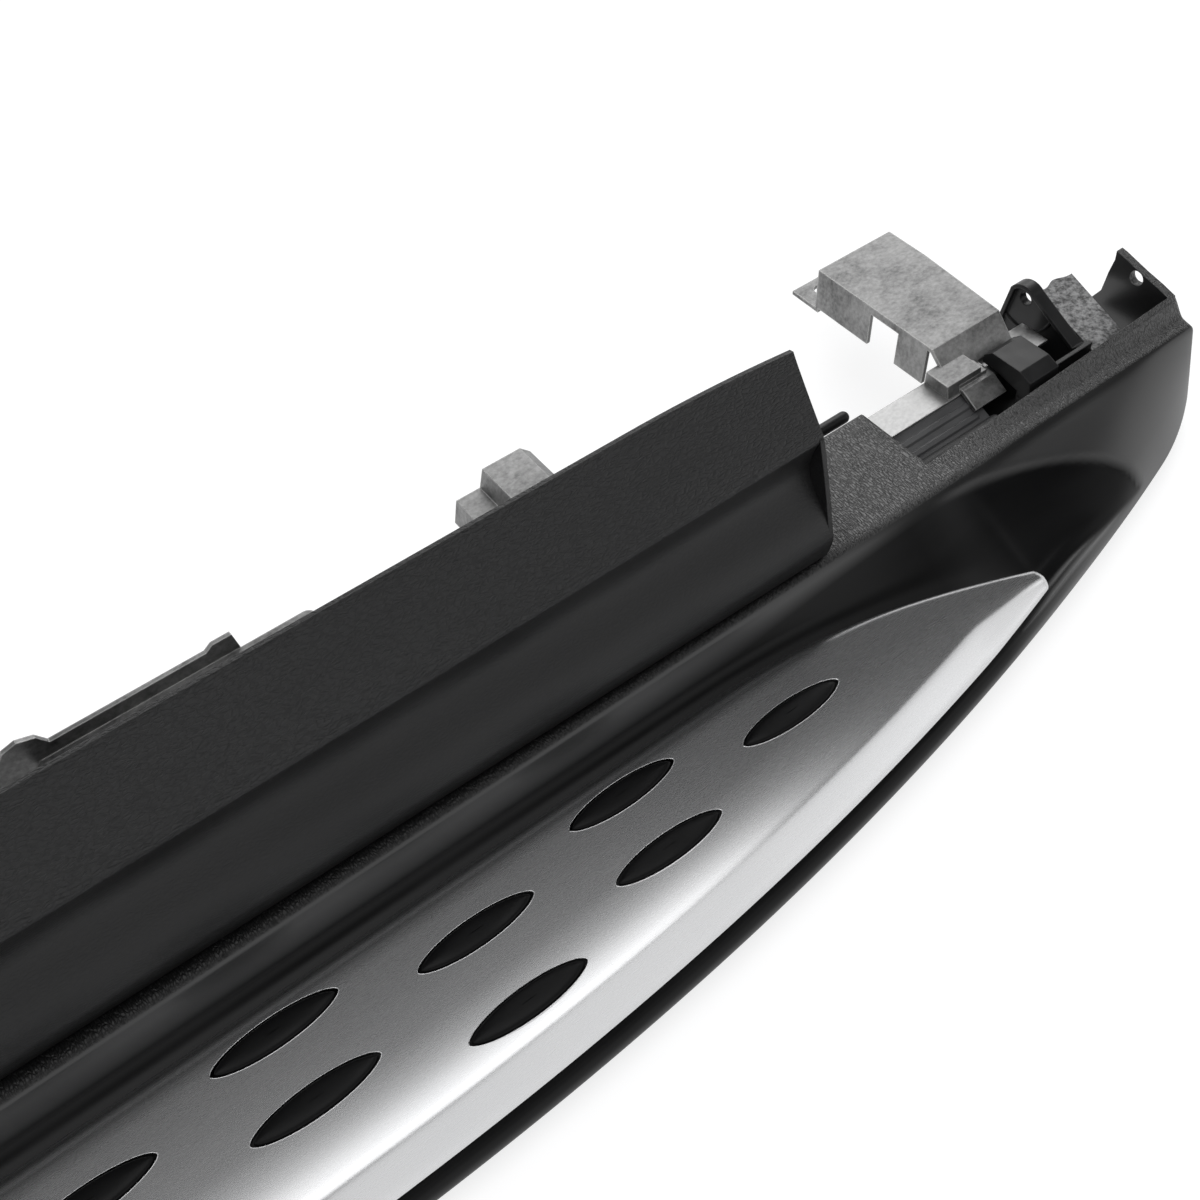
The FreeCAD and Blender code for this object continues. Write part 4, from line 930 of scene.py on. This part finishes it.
trim_black, shader = material("trim_black", (0.008, 0.008, 0.0082), 0.5, 0.0, 0.36)
place = object_place(trim_black)
axes = put(trim_black, "ShaderNodeSeparateXYZ", {"Vector": place})
upper = spread_between(trim_black, axes.outputs["Z"], 0.25, 1.0, crease_z - 0.004, crease_z + 0.002)
grain = leather(trim_black, object_place(trim_black, (0.6, 1.3, 1.6)), 430.0)
relief = put(trim_black, "ShaderNodeMath", {0: grain, 1: upper}, operation="MULTIPLY")
hide = put(trim_black, "ShaderNodeBump", {"Height": relief.outputs[0], "Strength": 0.9, "Distance": 0.0004})
wire(trim_black, hide.outputs[0], shader, "Normal")
smears = noise(trim_black, object_place(trim_black, (1.0, 4.0, 4.0)), 9.0)
wire(trim_black, spread_between(trim_black, smears.outputs["Fac"], 0.38, 0.48), shader, "Roughness")
tone = put(trim_black, "ShaderNodeMixRGB", {"Fac": relief.outputs[0], "Color1": (0.005, 0.005, 0.0052, 1.0),
                                            "Color2": (0.013, 0.013, 0.0133, 1.0)})
wire(trim_black, tone.outputs[0], shader, "Base Color")
tower_pitch = 2 * trim_end / 8
towers = spread("towers", [((i + 0.5) * tower_pitch, 0.0, 0.0) for i in range(-4, 4)], tower, trim_black)
trim = joined("sill_trim", trim_parts + [towers], False)
coated(trim, trim_black)
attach(trim, "root")
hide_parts("rocker_trim")


# Seal, clips and edge profiles. Soft foam along the trim's back, black nylon clips in its towers and
# through its foot, and a rubber bulb along the cut-out; they keep the shapes of the solids.
def dressed(nodes, finish):
    """Gives the solids' own meshes a material."""
    for name in nodes:
        coated(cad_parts[name], finish)


def soft_edges(made, shader, radius, below=None):
    """Rounds sharp edges in the shading alone."""
    edge = put(made, "ShaderNodeBevel", {"Radius": radius}, samples=4)
    if below is None:
        wire(made, edge.outputs[0], shader, "Normal")
    else:
        made.node_tree.links.new(edge.outputs[0], below.inputs["Normal"])
        wire(made, below.outputs[0], shader, "Normal")


foam, shader = material("foam", (0.028, 0.028, 0.029), 0.95, 0.0, 0.2)
cells = put(foam, "ShaderNodeTexVoronoi", {"Vector": object_place(foam), "Scale": 900.0})
tone = put(foam, "ShaderNodeMixRGB", {"Fac": cells.outputs["Distance"], "Color1": (0.012, 0.012, 0.012, 1.0),
                                      "Color2": (0.05, 0.05, 0.051, 1.0)})
wire(foam, tone.outputs[0], shader, "Base Color")
bubbles = put(foam, "ShaderNodeBump", {"Height": cells.outputs["Distance"], "Strength": 0.8,
                                       "Distance": 0.0004})
wire(foam, bubbles.outputs[0], shader, "Normal")
dressed(["trim_seal"], foam)

nylon, shader = material("nylon", (0.045, 0.045, 0.047), 0.38)
flow = noise(nylon, object_place(nylon), 260.0, 3.0)
wire(nylon, spread_between(nylon, flow.outputs["Fac"], 0.3, 0.46), shader, "Roughness")
skin_bump = put(nylon, "ShaderNodeBump", {"Height": flow.outputs["Fac"], "Strength": 0.2,
                                          "Distance": 0.0001})
soft_edges(nylon, shader, 0.0005, skin_bump)
dressed(["trim_clips", "body_clips"], nylon)

bulb, shader = material("bulb_rubber", (0.014, 0.014, 0.0145), 0.5, 0.0, 0.35)
streaks = noise(bulb, object_place(bulb, (4.0, 60.0, 60.0)), 20.0)
wire(bulb, spread_between(bulb, streaks.outputs["Fac"], 0.42, 0.6), shader, "Roughness")
lines = put(bulb, "ShaderNodeBump", {"Height": streaks.outputs["Fac"], "Strength": 0.3, "Distance": 0.0001})
wire(bulb, lines.outputs[0], shader, "Normal")
dressed(["edge_profile_right", "edge_profile_left"], bulb)


# Rail, brackets and fasteners. Pressed steel with a mottled zinc coat, lighter along its edges, and the dark
# # plastic channel in front of the rail.
def zinc(name, dark, light, roughness, radius):
    """Mottled zinc coat, lighter along the edges."""
    made, shader = material(name, light, roughness, 1.0)
    place = object_place(made, (1.0, 1.4, 1.0))
    bend = noise(made, place, 8.0, 2.0)
    moved = put(made, "ShaderNodeMixRGB", {"Fac": 0.05, "Color1": place, "Color2": bend.outputs["Color"]},
                blend_type="ADD")
    broad = noise(made, moved.outputs[0], 30.0, 6.0, 0.68)
    speck = noise(made, place, 380.0, 3.0)
    blotch = put(made, "ShaderNodeMixRGB", {"Fac": 0.25, "Color1": broad.outputs["Fac"],
                                            "Color2": speck.outputs["Fac"]})
    share = spread_between(made, blotch.outputs[0], 0.0, 1.0, 0.36, 0.64)
    tone = put(made, "ShaderNodeMixRGB", {"Fac": share, "Color1": (*dark, 1.0), "Color2": (*light, 1.0)})
    edge = put(made, "ShaderNodeBevel", {"Radius": 1.6 * radius}, samples=6)
    true = put(made, "ShaderNodeNewGeometry")
    meet = put(made, "ShaderNodeVectorMath", {0: edge.outputs[0], 1: true.outputs["Normal"]},
               operation="DOT_PRODUCT")
    # The coat's colour turns lighter where the rounded shading normal leaves the true one, along the edges.
    lighter_edges = spread_between(made, meet.outputs["Value"], 0.7, 0.0, 0.80, 0.985)
    final = put(made, "ShaderNodeMixRGB", {"Fac": lighter_edges, "Color1": tone.outputs[0],
                                           "Color2": (0.62, 0.62, 0.61, 1.0)})
    wire(made, final.outputs[0], shader, "Base Color")
    wire(made, spread_between(made, broad.outputs["Fac"], roughness - 0.08, roughness + 0.14), shader,
         "Roughness")
    dents = put(made, "ShaderNodeBump", {"Height": blotch.outputs[0], "Strength": 0.4, "Distance": 0.0006})
    soft_edges(made, shader, radius, dents)
    return made


bracket_coat = zinc("bracket_zinc", (0.09, 0.09, 0.09), (0.34, 0.34, 0.338), 0.46, 0.0009)
dressed(["end_arm_right", "end_arm_left", "mid_arm_right", "mid_arm_left", "wide_bracket_right",
         "wide_bracket_left"], bracket_coat)
rail_coat = zinc("rail_zinc", (0.24, 0.24, 0.24), (0.44, 0.44, 0.438), 0.38, 0.0009)
dressed(["carrier_rail"], rail_coat)
fastener_coat = zinc("fastener_zinc", (0.38, 0.38, 0.36), (0.62, 0.62, 0.60), 0.3, 0.0004)
dressed(["bracket_bolts", "bracket_nuts", "bracket_washers", "skirt_screws", "plate_studs", "plate_nuts"],
        fastener_coat)

channel_black, shader = material("channel_black", (0.05, 0.05, 0.051), 0.45)
flow = noise(channel_black, object_place(channel_black, (0.6, 2.0, 2.0)), 60.0)
tone = put(channel_black, "ShaderNodeMixRGB", {"Fac": flow.outputs["Fac"],
                                               "Color1": (0.03, 0.03, 0.031, 1.0),
                                               "Color2": (0.085, 0.085, 0.086, 1.0)})
wire(channel_black, tone.outputs[0], shader, "Base Color")
wire(channel_black, spread_between(channel_black, flow.outputs["Fac"], 0.36, 0.52), shader, "Roughness")
ripple = put(channel_black, "ShaderNodeBump", {"Height": flow.outputs["Fac"], "Strength": 0.25,
                                               "Distance": 0.0004})
soft_edges(channel_black, shader, 0.0006, ripple)
dressed(["rail_channel"], channel_black)


# End holders, end plates and pegs. Glossy black moulded holders, rough dip-coated steel plates, and
# moulded pegs that find the next panel.
holder_black, shader = material("holder_black", (0.010, 0.010, 0.0103), 0.34, 0.0, 0.3)
flow = noise(holder_black, object_place(holder_black), 70.0, 3.0)
wire(holder_black, spread_between(holder_black, flow.outputs["Fac"], 0.28, 0.42), shader, "Roughness")
ripple = put(holder_black, "ShaderNodeBump", {"Height": flow.outputs["Fac"], "Strength": 0.2,
                                              "Distance": 0.0006})
soft_edges(holder_black, shader, 0.0010, ripple)
dressed(["end_holder_right", "end_holder_left", "locating_peg_right", "locating_peg_left"], holder_black)

dip_coat, shader = material("dip_coat", (0.1, 0.1, 0.1), 0.5, 0.35)
lumps = noise(dip_coat, object_place(dip_coat), 320.0, 5.0, 0.65)
patches = noise(dip_coat, object_place(dip_coat), 70.0, 3.0)
share = spread_between(dip_coat, lumps.outputs["Fac"], 0.0, 1.0, 0.38, 0.62)
tone = put(dip_coat, "ShaderNodeMixRGB", {"Fac": share, "Color1": (0.035, 0.035, 0.035, 1.0),
                                          "Color2": (0.24, 0.24, 0.24, 1.0)})
wire(dip_coat, tone.outputs[0], shader, "Base Color")
wire(dip_coat, spread_between(dip_coat, patches.outputs["Fac"], 0.35, 0.7), shader, "Roughness")
crust = put(dip_coat, "ShaderNodeBump", {"Height": lumps.outputs["Fac"], "Strength": 0.7,
                                         "Distance": 0.0006})
soft_edges(dip_coat, shader, 0.0006, crust)
dressed(["end_plate_right", "end_plate_left"], dip_coat)
